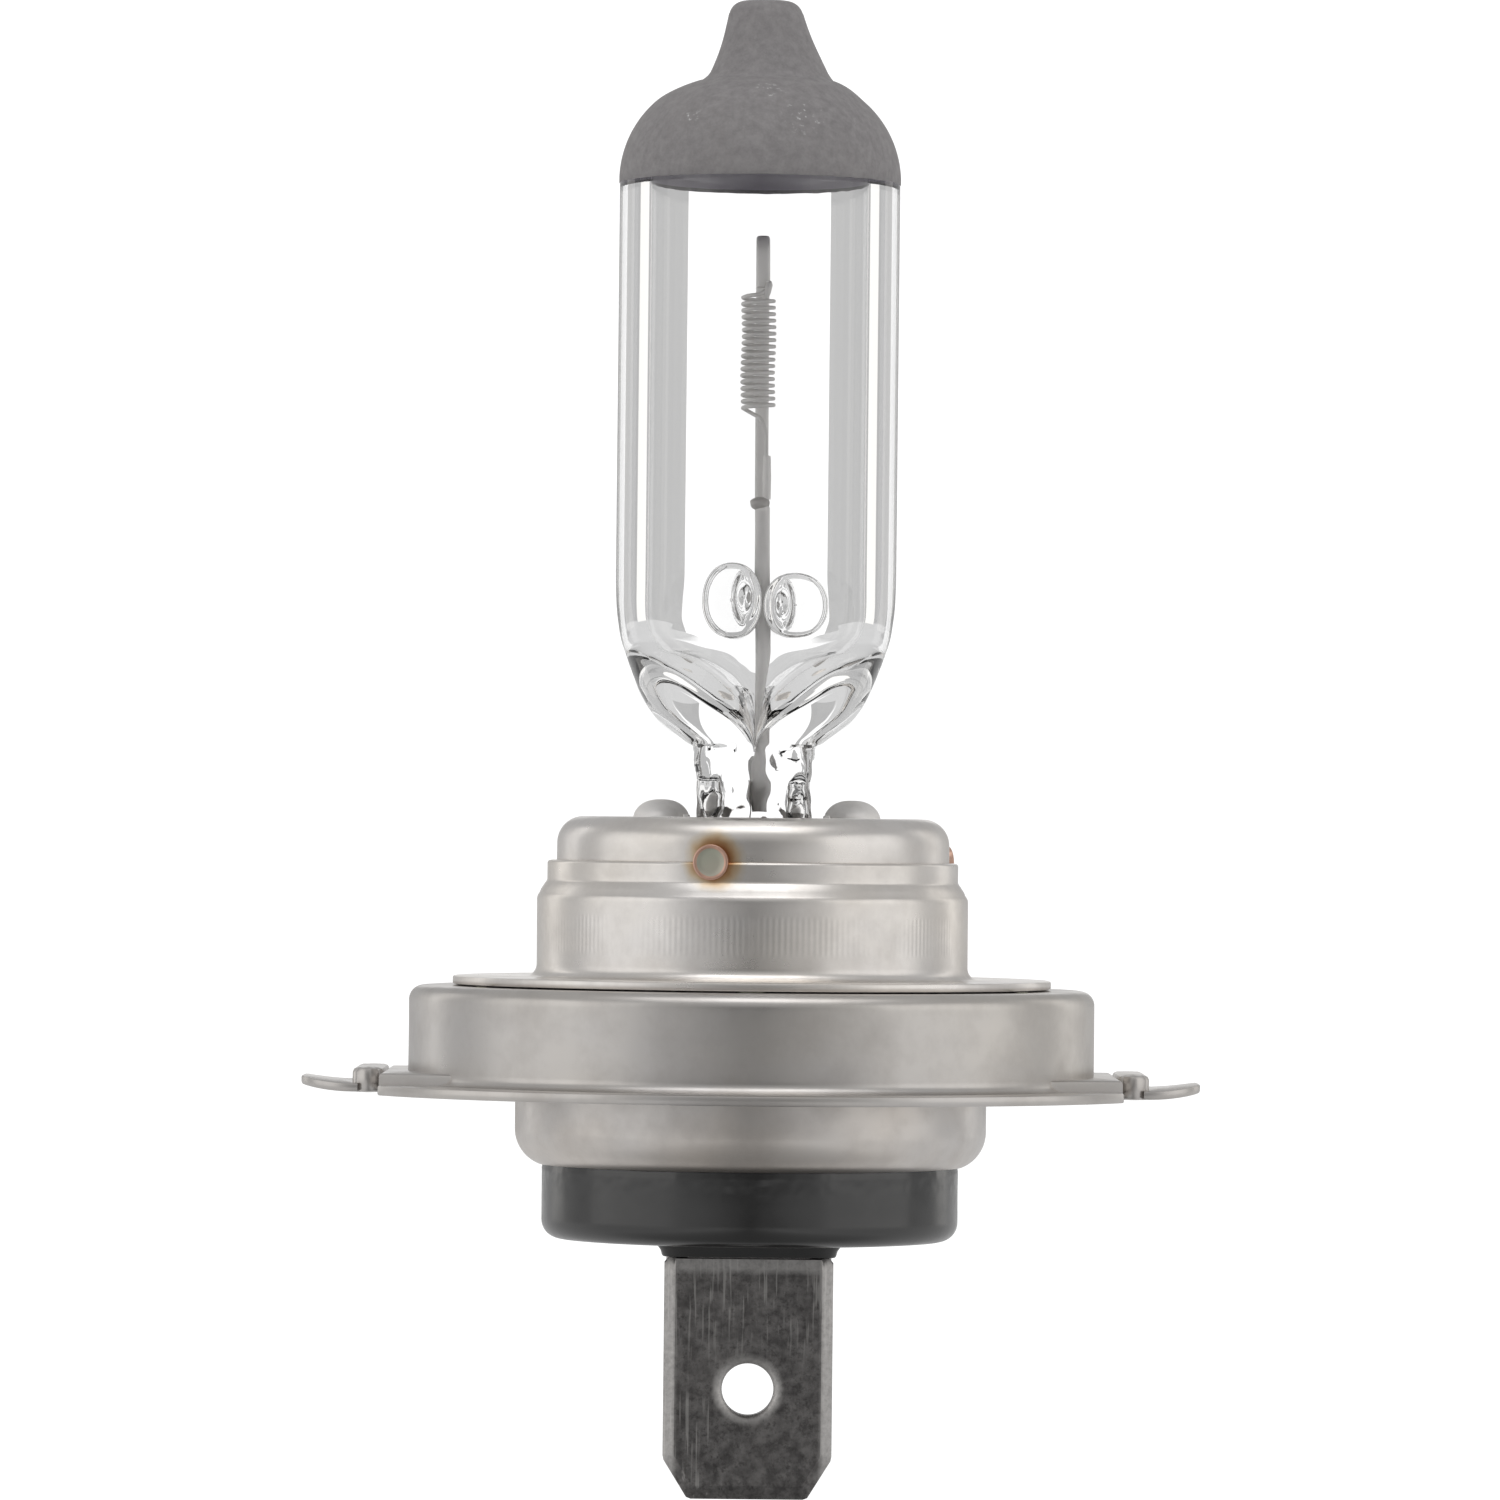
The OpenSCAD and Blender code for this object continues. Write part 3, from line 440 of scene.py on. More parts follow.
def weld_material():
    """Dull melted metal, finely rippled."""
    n = Nodes("weld_bead")
    ripple = n.noise(1400.0, 4.0, 0.6)
    rim = n.spread(n.noise(500.0, 2.0), 0.3, 0.7)
    n.set(Base_Color=n.mix(rim, (0.42, 0.44, 0.36), (0.52, 0.49, 0.41)), Metallic=0.7, Roughness=0.45)
    n.bump(ripple, 0.4, 0.03)
    return n.mat


def insulator_material():
    """Nearly black, half glossy body with fine grain and small pits."""
    n = Nodes("insulator_dark")
    fine = n.noise(1500.0, 4.0, 0.6)
    cloud = n.noise(160.0, 3.0, 0.5)
    base = n.mix(n.spread(cloud, 0.35, 0.65), (0.008, 0.008, 0.008), (0.016, 0.0155, 0.015))
    pits = n.node("ShaderNodeTexVoronoi", Vector=n.coord, Scale=900.0)
    pit = n.spread(pits.outputs["Distance"], 0.02, 0.09)
    height = n.plus(n.times(fine, 0.4), n.times(pit, 0.2))
    n.bump(height, 0.25, 0.02)
    n.set(Base_Color=base, Roughness=n.spread(fine, 0.3, 0.7, 0.16, 0.26), Specular_IOR_Level=1.0)
    return n.mat


def blade_material():
    """Dull plated sheet: fine mottle, fine scratches, and a painted highlight on the bevelled edges,
    shoulder band and hole rim.
    """
    n = Nodes("blade_metal")
    grain = n.noise(5200.0, 5.0, 0.7)
    mottle = n.noise(2300.0, 4.0, 0.65)
    cloud = n.noise(420.0, 3.0, 0.5)
    x, z = n.axis("X"), n.axis("Z")
    base = n.mix(n.spread(mottle, 0.36, 0.64), (0.13, 0.125, 0.123), (0.26, 0.25, 0.245))
    base = n.mix(n.spread(grain, 0.5, 0.68, 0.0, 0.75), base, (0.07, 0.067, 0.065))
    base = n.mix(n.spread(cloud, 0.35, 0.7, 0.0, 0.25), base, (0.3, 0.285, 0.275))
    # upright scratches under the shoulder
    upright = n.noise(8000.0, 2.0, 0.5, (1, 1, 0.055))
    high = n.spread(z, (BLADE_TOP - 4.3) * MM, (BLADE_TOP - 1.9) * MM)
    lines = n.times(n.spread(upright, 0.57, 0.65), high)
    # slanted scratches in two patches by the left edge
    slant_noise = n.noise(6500.0, 2.0, 0.5, (1, 1, 0.035), rotation=(0, math.radians(-40), 0))
    left = n.spread(x, -1.2 * MM, -0.4 * MM, 1.0, 0.0)
    patch = n.spread(n.noise(520.0, 1.0), 0.3, 0.5)
    slants = n.times(n.spread(slant_noise, 0.6, 0.66), n.times(left, patch))
    scratches = n.math("MAXIMUM", lines, slants)
    base = n.mix(n.times(scratches, 0.5), base, (0.6, 0.585, 0.565))
    # painted highlight on the bevelled edges, the shoulder band and the rim of the hole, broken up by
    # the grain
    edge = n.spread(n.math("ABSOLUTE", x), (BLADE_HALF_X - 0.53) * MM, (BLADE_HALF_X - 0.33) * MM,
                    0.0, 0.8)
    shoulder = n.spread(z, (BLADE_TOP - 0.65) * MM, (BLADE_TOP - 0.4) * MM, 0.0, 0.75)
    down = n.plus(z, -HOLE_Z * MM)
    from_hole = n.math("SQRT", n.plus(n.times(x, x), n.times(down, down)))
    rim = n.spread(from_hole, (HOLE_R + 0.095) * MM, (HOLE_R + 0.395) * MM, 0.95, 0.0)
    edge_highlight = n.math("MAXIMUM", n.math("MAXIMUM", edge, shoulder), rim)
    edge_highlight = n.times(edge_highlight, n.spread(grain, 0.3, 0.6, 1.0, 0.65))
    base = n.mix(edge_highlight, base, (0.62, 0.605, 0.59))
    height = n.math("SUBTRACT", n.times(mottle, 0.6), n.times(scratches, 0.5))
    n.bump(height, 0.3, 0.01)
    n.set(Base_Color=base, Metallic=1.0, Roughness=n.spread(mottle, 0.3, 0.7, 0.34, 0.5))
    return n.mat


QUARTZ = glass_material()
COATING = coating_material()
COATING_BACK = coating_back_material()
STEEL = steel_material("steel_satin", (0.6, 0.58, 0.565), (0.64, 0.61, 0.575), 0.33)
STEEL_CUP = steel_material("steel_cup", (0.78, 0.755, 0.735), (0.82, 0.775, 0.72), 0.31, heat=True,
                           seed=3.0)
STEEL_SLEEVE = steel_material("steel_sleeve", (0.8, 0.775, 0.755), (0.84, 0.795, 0.74), 0.31, heat=True,
                              knurl=True, seed=5.0)
STEEL_SHELL = steel_material("steel_shell", (0.68, 0.655, 0.635), (0.74, 0.68, 0.62), 0.34, seed=8.0)
STEEL_SPRING = steel_material("steel_spring", (0.93, 0.915, 0.9), (0.95, 0.925, 0.89), 0.6, seed=11.0)
TUNGSTEN = wire_material("tungsten_grey", (0.78, 0.765, 0.75), (0.9, 0.885, 0.87), 0.5)
LEAD = wire_material("lead_grey", (0.87, 0.855, 0.835), (0.96, 0.945, 0.93), 0.5)
FOIL = wire_material("foil_grey", (0.35, 0.33, 0.31), (0.45, 0.43, 0.41), 0.35, 0.85)
NUGGET = wire_material("nugget_dark", (0.4, 0.385, 0.37), (0.66, 0.64, 0.62), 0.5)
WELD = weld_material()
WELD_RIM = wire_material("weld_rim", (0.55, 0.33, 0.25), (0.7, 0.46, 0.36), 0.35, 0.9)
INSULATOR = insulator_material()
BLADE = blade_material()


# ---- glass envelope

TUBE_R = 5.3
BORE_R = 4.13
TUBE_TOP = 33.5
TUBE_LOW = 17.4
CROWN_R = 3.97
CROWN_X = TUBE_R - CROWN_R
PINCH_LOW = 4.2
PINCH_TOP = 12.25
PINCH_X = 2.22
PINCH_Y = 5.36
WEB_X = 1.3
PER_QUARTER = 64
TIP_TOP = 40.3


def tip_shift(z):
    """The sealed tip sits a little to the right of the axis, most of all at its foot."""
    return 0.3 * smooth((z - 36.5) / 1.1) - 0.15 * smooth((z - 37.6) / 2.7)


def crown_profile(grow=0.0):
    """(r, z) points of the closed crown and tip, from the top of the tube to the axis."""
    points = arc(CROWN_X, TUBE_TOP, CROWN_R + grow, 0, 71, 34)
    start = points[-1]
    foot = (2.2 + grow, 37.62)
    knee = (2.42 + grow, 37.26 + grow)
    for t in span(0.0, 1.0, 9)[1:]:
        points.append(tuple(start[i] * (1 - t) ** 2 + knee[i] * 2 * t * (1 - t) + foot[i] * t * t
                            for i in (0, 1)))
    for t in span(0.0, 1.0, 12)[1:]:
        z = foot[1] + (39.84 - foot[1]) * t
        hollow = 0.07 * math.sin(math.pi * t)
        points.append((foot[0] + (1.385 + grow - foot[0]) * t - hollow, z))
    points += arc(0.8, 39.72, 0.58 + grow, 14, 90, 12)
    points += [(0.55, TIP_TOP + grow), (0.3, TIP_TOP + grow)]
    return points


def full_outline(half_x, half_y, power=2.0, per_quarter=PER_QUARTER):
    """Closed superellipse with evenly spaced points: power 2 is an ellipse, 8 nearly a box."""
    fine_steps = 240
    quarter = []
    for k in range(fine_steps + 1):
        a = math.radians(90 * k / fine_steps)
        quarter.append((half_x * max(math.cos(a), 0.0) ** (2 / power),
                        half_y * max(math.sin(a), 0.0) ** (2 / power)))
    walked = [0.0]
    for p, q in zip(quarter, quarter[1:]):
        walked.append(walked[-1] + math.dist(p, q))
    first = []
    i = 0
    for k in range(per_quarter + 1):
        goal = walked[-1] * k / per_quarter
        while i < fine_steps - 1 and walked[i + 1] < goal:
            i += 1
        t = (goal - walked[i]) / max(walked[i + 1] - walked[i], 1e-9)
        t = min(max(t, 0.0), 1.0)
        first.append((quarter[i][0] + t * (quarter[i + 1][0] - quarter[i][0]),
                      quarter[i][1] + t * (quarter[i + 1][1] - quarter[i][1])))
    second = [(-x, y) for x, y in reversed(first)][1:]
    third = [(-x, -y) for x, y in first][1:]
    fourth = [(x, -y) for x, y in reversed(first)][1:-1]
    return first + second + third + fourth


def lookup(table, z):
    """Value at z, straight between (z, value) pairs in rising z."""
    if z <= table[0][0]:
        return table[0][1]
    for (z0, v0), (z1, v1) in zip(table, table[1:]):
        if z <= z1:
            return v0 + (v1 - v0) * (z - z0) / (z1 - z0)
    return table[-1][1]


def eased(table, z, reach=0.3):
    """Table value averaged over a short height, so that no edge shows between its steps."""
    return sum(lookup(table, z + reach * d) for d in (-1.0, -0.5, 0.0, 0.5, 1.0)) / 5


# half width and half depth of the throat, outside and inside the glass, as (height, size)
OUTER_HALF = [(12.0, 2.3), (12.43, 2.86), (12.8, 3.38), (13.18, 3.77), (13.94, 4.27), (15.07, 4.7),
              (16.2, 5.1), (17.33, 5.26), (18.4, TUBE_R)]
INNER_HALF = [(11.9, 0.05), (12.4, 0.28), (12.9, 0.7), (13.4, 1.3), (14.0, 2.1), (14.7, 2.9),
              (15.5, 3.58), (16.3, 3.97), (17.0, 4.1), (17.6, BORE_R)]
INNER_DEPTH = [(11.9, 2.6), (12.6, 3.1), (13.4, 3.55), (14.2, 3.9), (15.0, 4.08), (15.8, BORE_R)]
OUTER_DEPTH = [(12.2, 5.3), (18.4, TUBE_R)]

CIRCLE = full_outline(1.0, 1.0)


def round_row(r, z, shift=0.0):
    """Round row of points; shift moves it to the right."""
    return [(x * r + shift, y * r, z) for x, y in CIRCLE]


def straight_rows(r):
    """Rows of the straight tube between throat and crown."""
    return [round_row(r, z) for z in span(TUBE_LOW + 2.0, TUBE_TOP - 0.3, 24)]


def pinch_rows():
    """Outside of the pinch: a rounded slab with a thin rough web between thicker edges."""
    rows = []
    pinch_z = [PINCH_LOW, PINCH_LOW + 0.05, PINCH_LOW + 0.15, PINCH_LOW + 0.3]
    pinch_z += span(PINCH_LOW + 0.45, PINCH_TOP - 0.12, 60)
    for z in pinch_z:
        inset = 0.3 * (1 - smooth((z - PINCH_LOW) / 0.3)) ** 2
        loop = full_outline(PINCH_X - inset, PINCH_Y - inset, 9.0)
        row = []
        for x, y in loop:
            web = between(y, -4.15, 4.15, 1.0) * between(z, 5.3, 11.3, 1.0)
            rough_face = 0.09 * noise.noise(Vector((x * 1.5 + 4, y * 1.3, z * 2.6)))
            depth = (PINCH_X - WEB_X + rough_face) * web * smooth(abs(x) / 1.2)
            x -= math.copysign(depth, x)
            ripple = 0.06 * smooth((z - 8.6) / 1.5)
            wave = noise.noise(Vector((x * 0.9, y * 0.6, z * 0.9 + 11.0)))
            wave += 0.6 * noise.noise(Vector((x * 2.3, y * 1.1, z * 1.6 + 31.0)))
            row.append((x * (1 + ripple * wave), y * (1 + 0.35 * ripple * wave), z))
        rows.append(row)
    return rows


def throat_rows():
    """Outside of the throat, which changes from a squarish pinch to the round tube."""
    rows = []
    for z in [PINCH_TOP - 0.02, PINCH_TOP + 0.06] + span(PINCH_TOP + 0.16, TUBE_LOW + 1.6, 80):
        power = 4.2 - 2.2 * smooth((z - PINCH_TOP) / 3.5)
        loop = full_outline(eased(OUTER_HALF, z), eased(OUTER_DEPTH, z), power)
        fade = smooth((TUBE_LOW - 1.0 - z) / 4.0)
        row = []
        for x, y in loop:
            wave = noise.noise(Vector((x * 0.55 + 5, y * 0.5, z * 0.75)))
            grow = 1 + 0.012 * fade * wave
            row.append((x * grow, y * (1 + 0.003 * fade * wave), z))
        rows.append(row)
    return rows


def outer_rows():
    crown = [round_row(r, z, tip_shift(z)) for r, z in crown_profile()]
    return pinch_rows() + throat_rows() + straight_rows(TUBE_R) + crown


def inner_rows():
    """The gas space, from a narrow slot above the pinch to the crown and into the tip."""
    rows = []
    for z in span(11.9, TUBE_LOW + 1.6, 90):
        half = eased(INNER_HALF, z, 0.2)
        power = 2.0 + 0.3 * (1 - smooth((z - 12.0) / 2.0))
        loop = full_outline(half, eased(INNER_DEPTH, z, 0.2), power)
        fade = smooth((TUBE_LOW - 0.5 - z) / 4.0)
        row = []
        for x, y in loop:
            wave = noise.noise(Vector((x * 0.6, y * 0.55 + 9, z * 0.8)))
            row.append((x * (1 + 0.03 * fade * wave), y, z))
        rows.append(row)
    rows += straight_rows(BORE_R)
    inner_arc = CROWN_R - (TUBE_R - BORE_R)
    rows += [round_row(r, z) for r, z in arc(CROWN_X, TUBE_TOP, inner_arc, 0, 84, 22)]
    tip_hollow = ((1.0, 36.4), (0.7, 36.9), (0.4, 37.6), (0.15, 38.0))
    rows += [round_row(r, z, tip_shift(z)) for r, z in tip_hollow]
    return rows


def build_envelope():
    """Hollow glass; its outer faces under the coating show the back of the coating."""
    def coated(face, verts):
        return 1 if min(verts[i][2] for i in face) >= TUBE_TOP - 0.01 else 0

    shell = Shell().add(*loft(outer_rows()), slot=coated)
    shell.add(*loft(inner_rows()), outward=False)
    obj = shell.piece("glass_envelope", [QUARTZ, COATING_BACK], ["quartz_envelope"], 60)


def build_coating():
    """Thin opaque skin over the crown, with a slightly uneven lower rim."""
    outside = [(TUBE_R + 0.004, TUBE_TOP - 0.1), (TUBE_R + 0.02, TUBE_TOP - 0.08)]
    outside += crown_profile(0.022)[1:]
    inside = [(TUBE_R + 0.003, TUBE_TOP - 0.1)] + crown_profile(0.003)
    rows = []
    for r, z in list(reversed(inside)) + outside:
        low = 1 - smooth((z - TUBE_TOP) / 0.5)
        row = []
        for x, y in CIRCLE:
            jag = 0.025 * noise.noise(Vector((x * 9, y * 9, 3.0))) - 0.04 * y
            row.append((x * r + tip_shift(z), y * r, z + low * jag))
        rows.append(row)
    obj = Shell().add(*loft(rows)).piece("crown_coating", [COATING], ["blackout_coating"], 50)


# ---- filament and leads

COIL_R = 0.585
WIRE_R = 0.075
PITCH = 0.245
TURNS = 17
COIL_LOW = 25.0
LEAD_X = 0.2
LEAD_Y = 2.15
TAIL_X = 0.37
TAIL_LOW = 21.5


def build_filament():
    """One coiled wire with both its tails, and a thicker stub where the upper tail is held."""
    per_turn = 40
    path = []
    for k in range(TURNS * per_turn + 1):
        a = math.pi + TAU * k / per_turn
        z = COIL_LOW - PITCH / 4 + PITCH * k / per_turn
        lean = 0.02 * math.sin(z * 2.1)
        path.append((COIL_R * math.cos(a) + lean, COIL_R * math.sin(a), z))
    low = Vector(path[0])
    high = Vector(path[-1])
    lower_tail = rounded_path([low + Vector((0.0, 0.02, 0.0)), low + Vector((0.12, 0.28, -0.06)),
                               low + Vector((0.45, 0.12, -0.25)), (0.12, 0.02, COIL_LOW - 0.42),
                               (0.33, 0.0, COIL_LOW - 0.95), (TAIL_X, 0.0, TAIL_LOW)], 0.25)
    upper_tail = rounded_path([high, high + Vector((0.18, -0.3, 0.06)), (0.05, -0.5, high.z + 0.1),
                               (0.3, -0.36, high.z + 0.3), (0.33, -0.34, 29.72)], 0.2)
    shell = Shell()
    whole = list(reversed(lower_tail)) + [Vector(p) for p in path[1:-1]] + upper_tail
    shell.add(*tube(dense(whole, 0.1), WIRE_R, 12))
    stub = tube([(0.24, -0.36, 29.0), (0.3, -0.36, 29.3), (0.38, -0.35, 29.6), (0.42, -0.34, 29.72)],
                [0.1, 0.15, 0.14, 0.05], 14)
    shell.add(*stub)
    obj = shell.piece("filament_coil", [TUNGSTEN], ["filament"], 60)


def build_tail_sleeve():
    """Overwound sleeve round the lower tail."""
    bore_r, top = 0.085, 23.15
    ring = [(bore_r, TAIL_LOW), (0.15, TAIL_LOW), (0.16, 22.4), (0.14, 23.1), (0.12, top),
            (bore_r, top)]
    verts, faces = revolve(ring, 24)
    shell = Shell().add([(x + TAIL_X, y, z) for x, y, z in verts], faces)
    obj = shell.piece("filament_tail_sleeve_look", [LEAD], ["filament_tail_sleeve"], 50)


def build_filament_weld():
    """Lumpy bead that joins the lower tail to the short lead."""
    centre_x, centre_z, bead_r, half_height = 0.12, 21.34, 0.36, 0.26
    rows = []
    for t in span(8, 172, 14):
        z = centre_z + half_height * math.cos(math.radians(180 - t))
        r = bead_r * math.sin(math.radians(t))
        row = []
        for c, s in around(24):
            lump = 1 + 0.22 * noise.noise(Vector((c * 1.7, s * 1.7, z * 4)))
            row.append((centre_x + r * lump * c * 1.05, r * lump * s, z))
        rows.append(row)
    obj = Shell().add(*loft(rows)).piece("filament_weld_bead", [NUGGET], ["filament_weld"], 60)


def build_leads():
    """The long lead turns over to the axis above the coil, the short one bends in below it."""
    foot_z, turn_z = 9.7, 31.225
    long_path = rounded_path([(LEAD_X + 0.06, LEAD_Y, foot_z), (LEAD_X + 0.08, LEAD_Y, 15.0),
                              (LEAD_X - 0.02, LEAD_Y, 22.0), (LEAD_X - 0.06, LEAD_Y, turn_z),
                              (LEAD_X - 0.06, 0.0, turn_z), (LEAD_X - 0.04, 0.0, 29.5)], 0.6, 10)
    shell = Shell().add(*tube(dense(long_path, 0.5), 0.262, 32, Vector((1, 0, 0)), 4.5))
    obj = shell.piece("long_lead", [LEAD], ["long_inner_lead"], 50)
    short_path = rounded_path([(LEAD_X + 0.06, -LEAD_Y, foot_z), (LEAD_X + 0.1, -LEAD_Y, 15.0),
                               (LEAD_X + 0.02, -LEAD_Y, 18.6), (LEAD_X + 0.02, -0.05, 20.9),
                               (LEAD_X + 0.02, 0.0, 21.2)], 0.5, 10)
    shell = Shell().add(*tube(dense(short_path, 0.5), 0.275, 24))
    obj = shell.piece("short_lead", [LEAD], ["short_inner_lead"], 50)


# piece, CAD node, side, centre x and z, half sizes in x and z, how far the lens sits above centre
RODS = (("bridge_left", "bridge_rod_left", -1, -0.84, 17.62, 1.06, 1.42, 0.1),
        ("bridge_right", "bridge_rod_right", 1, 1.4, 17.46, 1.13, 1.22, 0.0))
ROD_HALF_Y = 2.62
ROD_DOME = 0.5
LENS_HALF_X = 0.46
LENS_HALF_Z = 1.0


def rod_end(cx, cz, half_x, half_z, lens_x, lens_z, end):
    """Domed end of a rod from its middle outward, with the bowl and lip of its oval lens."""
    rows = []
    for f in span(0.0, 1.0, 26)[1:]:
        dome = ROD_HALF_Y + ROD_DOME * (1 - f ** 6) ** 0.5
        row = []
        for c, s in around(96):
            x = cx + half_x * f * math.copysign(abs(c) ** 0.9, c)
            z = cz + half_z * f * math.copysign(abs(s) ** 0.95, s)
            oval = math.hypot((x - lens_x) / LENS_HALF_X, (z - lens_z) / LENS_HALF_Z)
            bowl = 0.0
            if oval < 1:
                bowl = 0.2 * math.sin(math.pi * oval) - 0.16 * (1 + math.cos(math.pi * oval)) / 2
            row.append((x, end * (dome + bowl), z))
        rows.append(row)
    return rows


def build_rods():
    """Two fused quartz rods seen end on; each end has a small oval lens beside the leads."""
    for name, node, side, cx, cz, half_x, half_z, lens_up in RODS:
        sizes = (cx, cz, half_x, half_z, cx - side * 0.42 * half_x, cz + lens_up)
        rows = rod_end(*sizes, -1) + rod_end(*sizes, 1)[::-1]
        obj = Shell().add(*loft(rows)).piece(name, [QUARTZ], [node], 60)


# ---- cap parts

def dented(amount, seed):
    """Hardly visible waves in the pressed sheet."""
    def wobble(a, z):
        return amount * noise.noise(Vector((math.cos(a) * 2.2 + seed, math.sin(a) * 2.2, z * 0.35)))
    return wobble


def build_cup():
    """Cup with a rounded top edge and an oblong opening for the pinch."""
    r, top, t, rnd = 7.4, 9.5, 0.3, 1.0
    hole_x, hole_y = 2.95, 5.6
    shell = Shell()
    wall_out = dense([(r, 4.0), (r, top - rnd)], 0.25) + arc(r - rnd, top - rnd, rnd, 0, 90, 14)[1:]
    wall_in = dense([(r - t, 4.0), (r - t, top - rnd)], 0.25)
    wall_in += arc(r - rnd, top - rnd, rnd - t, 0, 90, 14)[1:]
    verts, faces = revolve(wall_out + wall_in[::-1], 360, dented(0.012, 1.0))
    shell.add(verts, faces)
    # flat top between the rounded edge and the oblong opening
    outline = []
    for c, s in around(360):
        reach = min(hole_x / max(abs(c), 1e-6), hole_y / max(abs(s), 1e-6))
        outline.append((reach * c, reach * s, c, s))
    rows = []
    for f, z in ((0.0, top), (0.5, top), (1.0, top), (1.0, top - t), (0.5, top - t), (0.0, top - t)):
        rows.append([(x + (c * (r - rnd) - x) * f, y + (s * (r - rnd) - y) * f, z)
                     for x, y, c, s in outline])
    shell.add(*loft(rows, closed_rows=True))
    obj = shell.piece("cup_look", [STEEL_CUP], ["holder_cup"], 35)


def build_springs():
    """Each spring shows as a smooth domed hump on the cup; its leg runs down beside the pinch."""
    half_y, foot_z = 2.35, 9.46
    for name, side, centre_x, half_x, rise in (("pinch_spring_left", -1, 3.48, 1.07, 0.7),
                                               ("pinch_spring_right", 1, 3.72, 1.08, 0.72)):
        shell = Shell()
        rows = []
        for f in span(0.03, 1.0, 20):
            loop = full_outline(half_x * f, half_y * f, 2.4, 16)
            z = foot_z + rise * (1 - f ** 2.6) ** 0.62
            rows.append([(side * centre_x + x, y, z) for x, y in loop])
        rows.append([(x, y, z - 0.12) for x, y, z in rows[-1]])
        shell.add(*loft(rows))
        leg_x = side * (centre_x - half_x + 0.12)
        shell.add(*rounded_box(leg_x - 0.12, leg_x + 0.12, -2.2, 2.2, 6.2, 9.6, 0.05))
        obj = shell.piece(name + "_look", [STEEL_SPRING], [name], 50)


def build_sleeve():
    """Stepped sleeve: narrow lip at the top, wider wall below it and a flat flange."""
    lip_r, wall_r, bore_r, flange_r = 7.75, 8.135, 7.43, 11.285
    flange_z, fillet, t = 3.45, 0.45, 0.32
    outside = [(7.67, 7.83), (7.72, 7.8), (lip_r, 7.74)]
    outside += dense([(lip_r, 7.7), (lip_r, 7.15)], 0.2)
    outside += arc(lip_r + 0.2, 7.15, 0.2, 180, 230, 4)[1:]
    outside += [(7.98, 6.75)]
    outside += arc(wall_r - 0.4, 6.35, 0.4, 40, 0, 6)
    outside += dense([(wall_r, 6.25), (wall_r, 3.95)], 0.2)
    outside += arc(wall_r + fillet, flange_z + fillet, fillet, 180, 270, 10)
    outside += dense([(8.7, flange_z), (11.2, flange_z)], 0.4) + [(11.26, 3.43), (flange_r, 3.38)]
    inside = [(flange_r, 3.2), (11.26, 3.15), (11.2, flange_z - t), (8.7, flange_z - t)]
    inside += arc(wall_r + fillet, flange_z + fillet, fillet + t, 270, 180, 10)
    inside += [(wall_r - t, 6.2), (bore_r, 7.05), (bore_r, 7.78), (7.47, 7.83), (7.55, 7.85)]
    verts, faces = revolve(outside + inside, 360, dented(0.015, 4.0))
    obj = Shell().add(verts, faces).piece("sleeve_look", [STEEL_SLEEVE], ["focus_sleeve"], 35)


def build_weld_spots():
    """Round beads at the sleeve lip, each with a raised copper coloured rim."""
    start_r, rim_r = 7.3, 0.53
    # (radius, height above the start) from the foot of a bead to its middle
    profile = ((0.6, 0.0), (0.66, 0.4), (0.66, 0.5), (0.62, 0.53), (0.56, 0.52), (0.52, 0.485),
               (0.3, 0.48), (0.12, 0.485))
    shell = Shell()
    up = Vector((0, 0, 1))
    for x, y, z in weld_points():
        out = Vector((x, y, 0)).normalized()
        side = up.cross(out)
        centre = out * start_r + up * z
        rows = []
        for r, h in profile:
            rows.append([tuple(centre + out * h + side * r * c + up * r * s) for c, s in around(48)])

        def rim(face, verts, centre=centre, out=out):
            """1 on the faces that reach farther than the rim radius from the bead's own axis."""
            offsets = [Vector(verts[i]) - centre for i in face]
            far = max((offset - out * offset.dot(out)).length for offset in offsets)
            return 1 if far > rim_r else 0

        shell.add(*loft(rows), slot=rim)
    obj = shell.piece("weld_beads", [WELD, WELD_RIM], ["sleeve_weld_spots"], 50)


def bevel_levels(low, high, edge):
    """(z, inset) levels of a plate whose lower and upper edges are bevelled."""
    return [(low, edge), (low + edge * 0.3, edge * 0.3), (low + edge, 0), (high - edge, 0),
            (high - edge * 0.3, edge * 0.3), (high, edge)]


def rounded_box(x0, x1, y0, y1, z0, z1, edge, bow=0.0):
    """Box with bevelled edges, as a loft along Z; bow makes its two Y faces slightly convex."""
    cx, cy = (x0 + x1) / 2, (y0 + y1) / 2
    rows = []
    for z, inset in bevel_levels(z0, z1, edge):
        hx, hy = (x1 - x0) / 2 - inset, (y1 - y0) / 2 - inset
        row = []
        for k in range(4):
            sx = 1 if k in (0, 3) else -1
            sy = 1 if k in (0, 1) else -1
            for a in span(90 * k, 90 * k + 90, 4):
                row.append((cx + sx * (hx - edge) + edge * math.cos(math.radians(a)),
                            cy + sy * (hy - edge - bow) + edge * math.sin(math.radians(a)), z))
            if bow and k in (0, 2):
                for t in span(1.0, -1.0, 12)[1:-1]:
                    row.append((cx + sx * t * (hx - edge), cy + sy * (hy - bow * t * t), z))
        rows.append(row)
    return loft(rows)


FLANGE_LOW = -0.92
FLANGE_TOP = -0.56
FLANGE_R = 15.5
FLAT_X = 13.8
PAD_TOP = -0.14
BOSS_IN = 13.75
BOSS_OUT = 14.9
LUG_START = 14.7
LUG_END = 16.9
LUG_HALF_Y = 3.27
LUG_CORNER_R = 2.2
LUG_BEND_R = 8.5


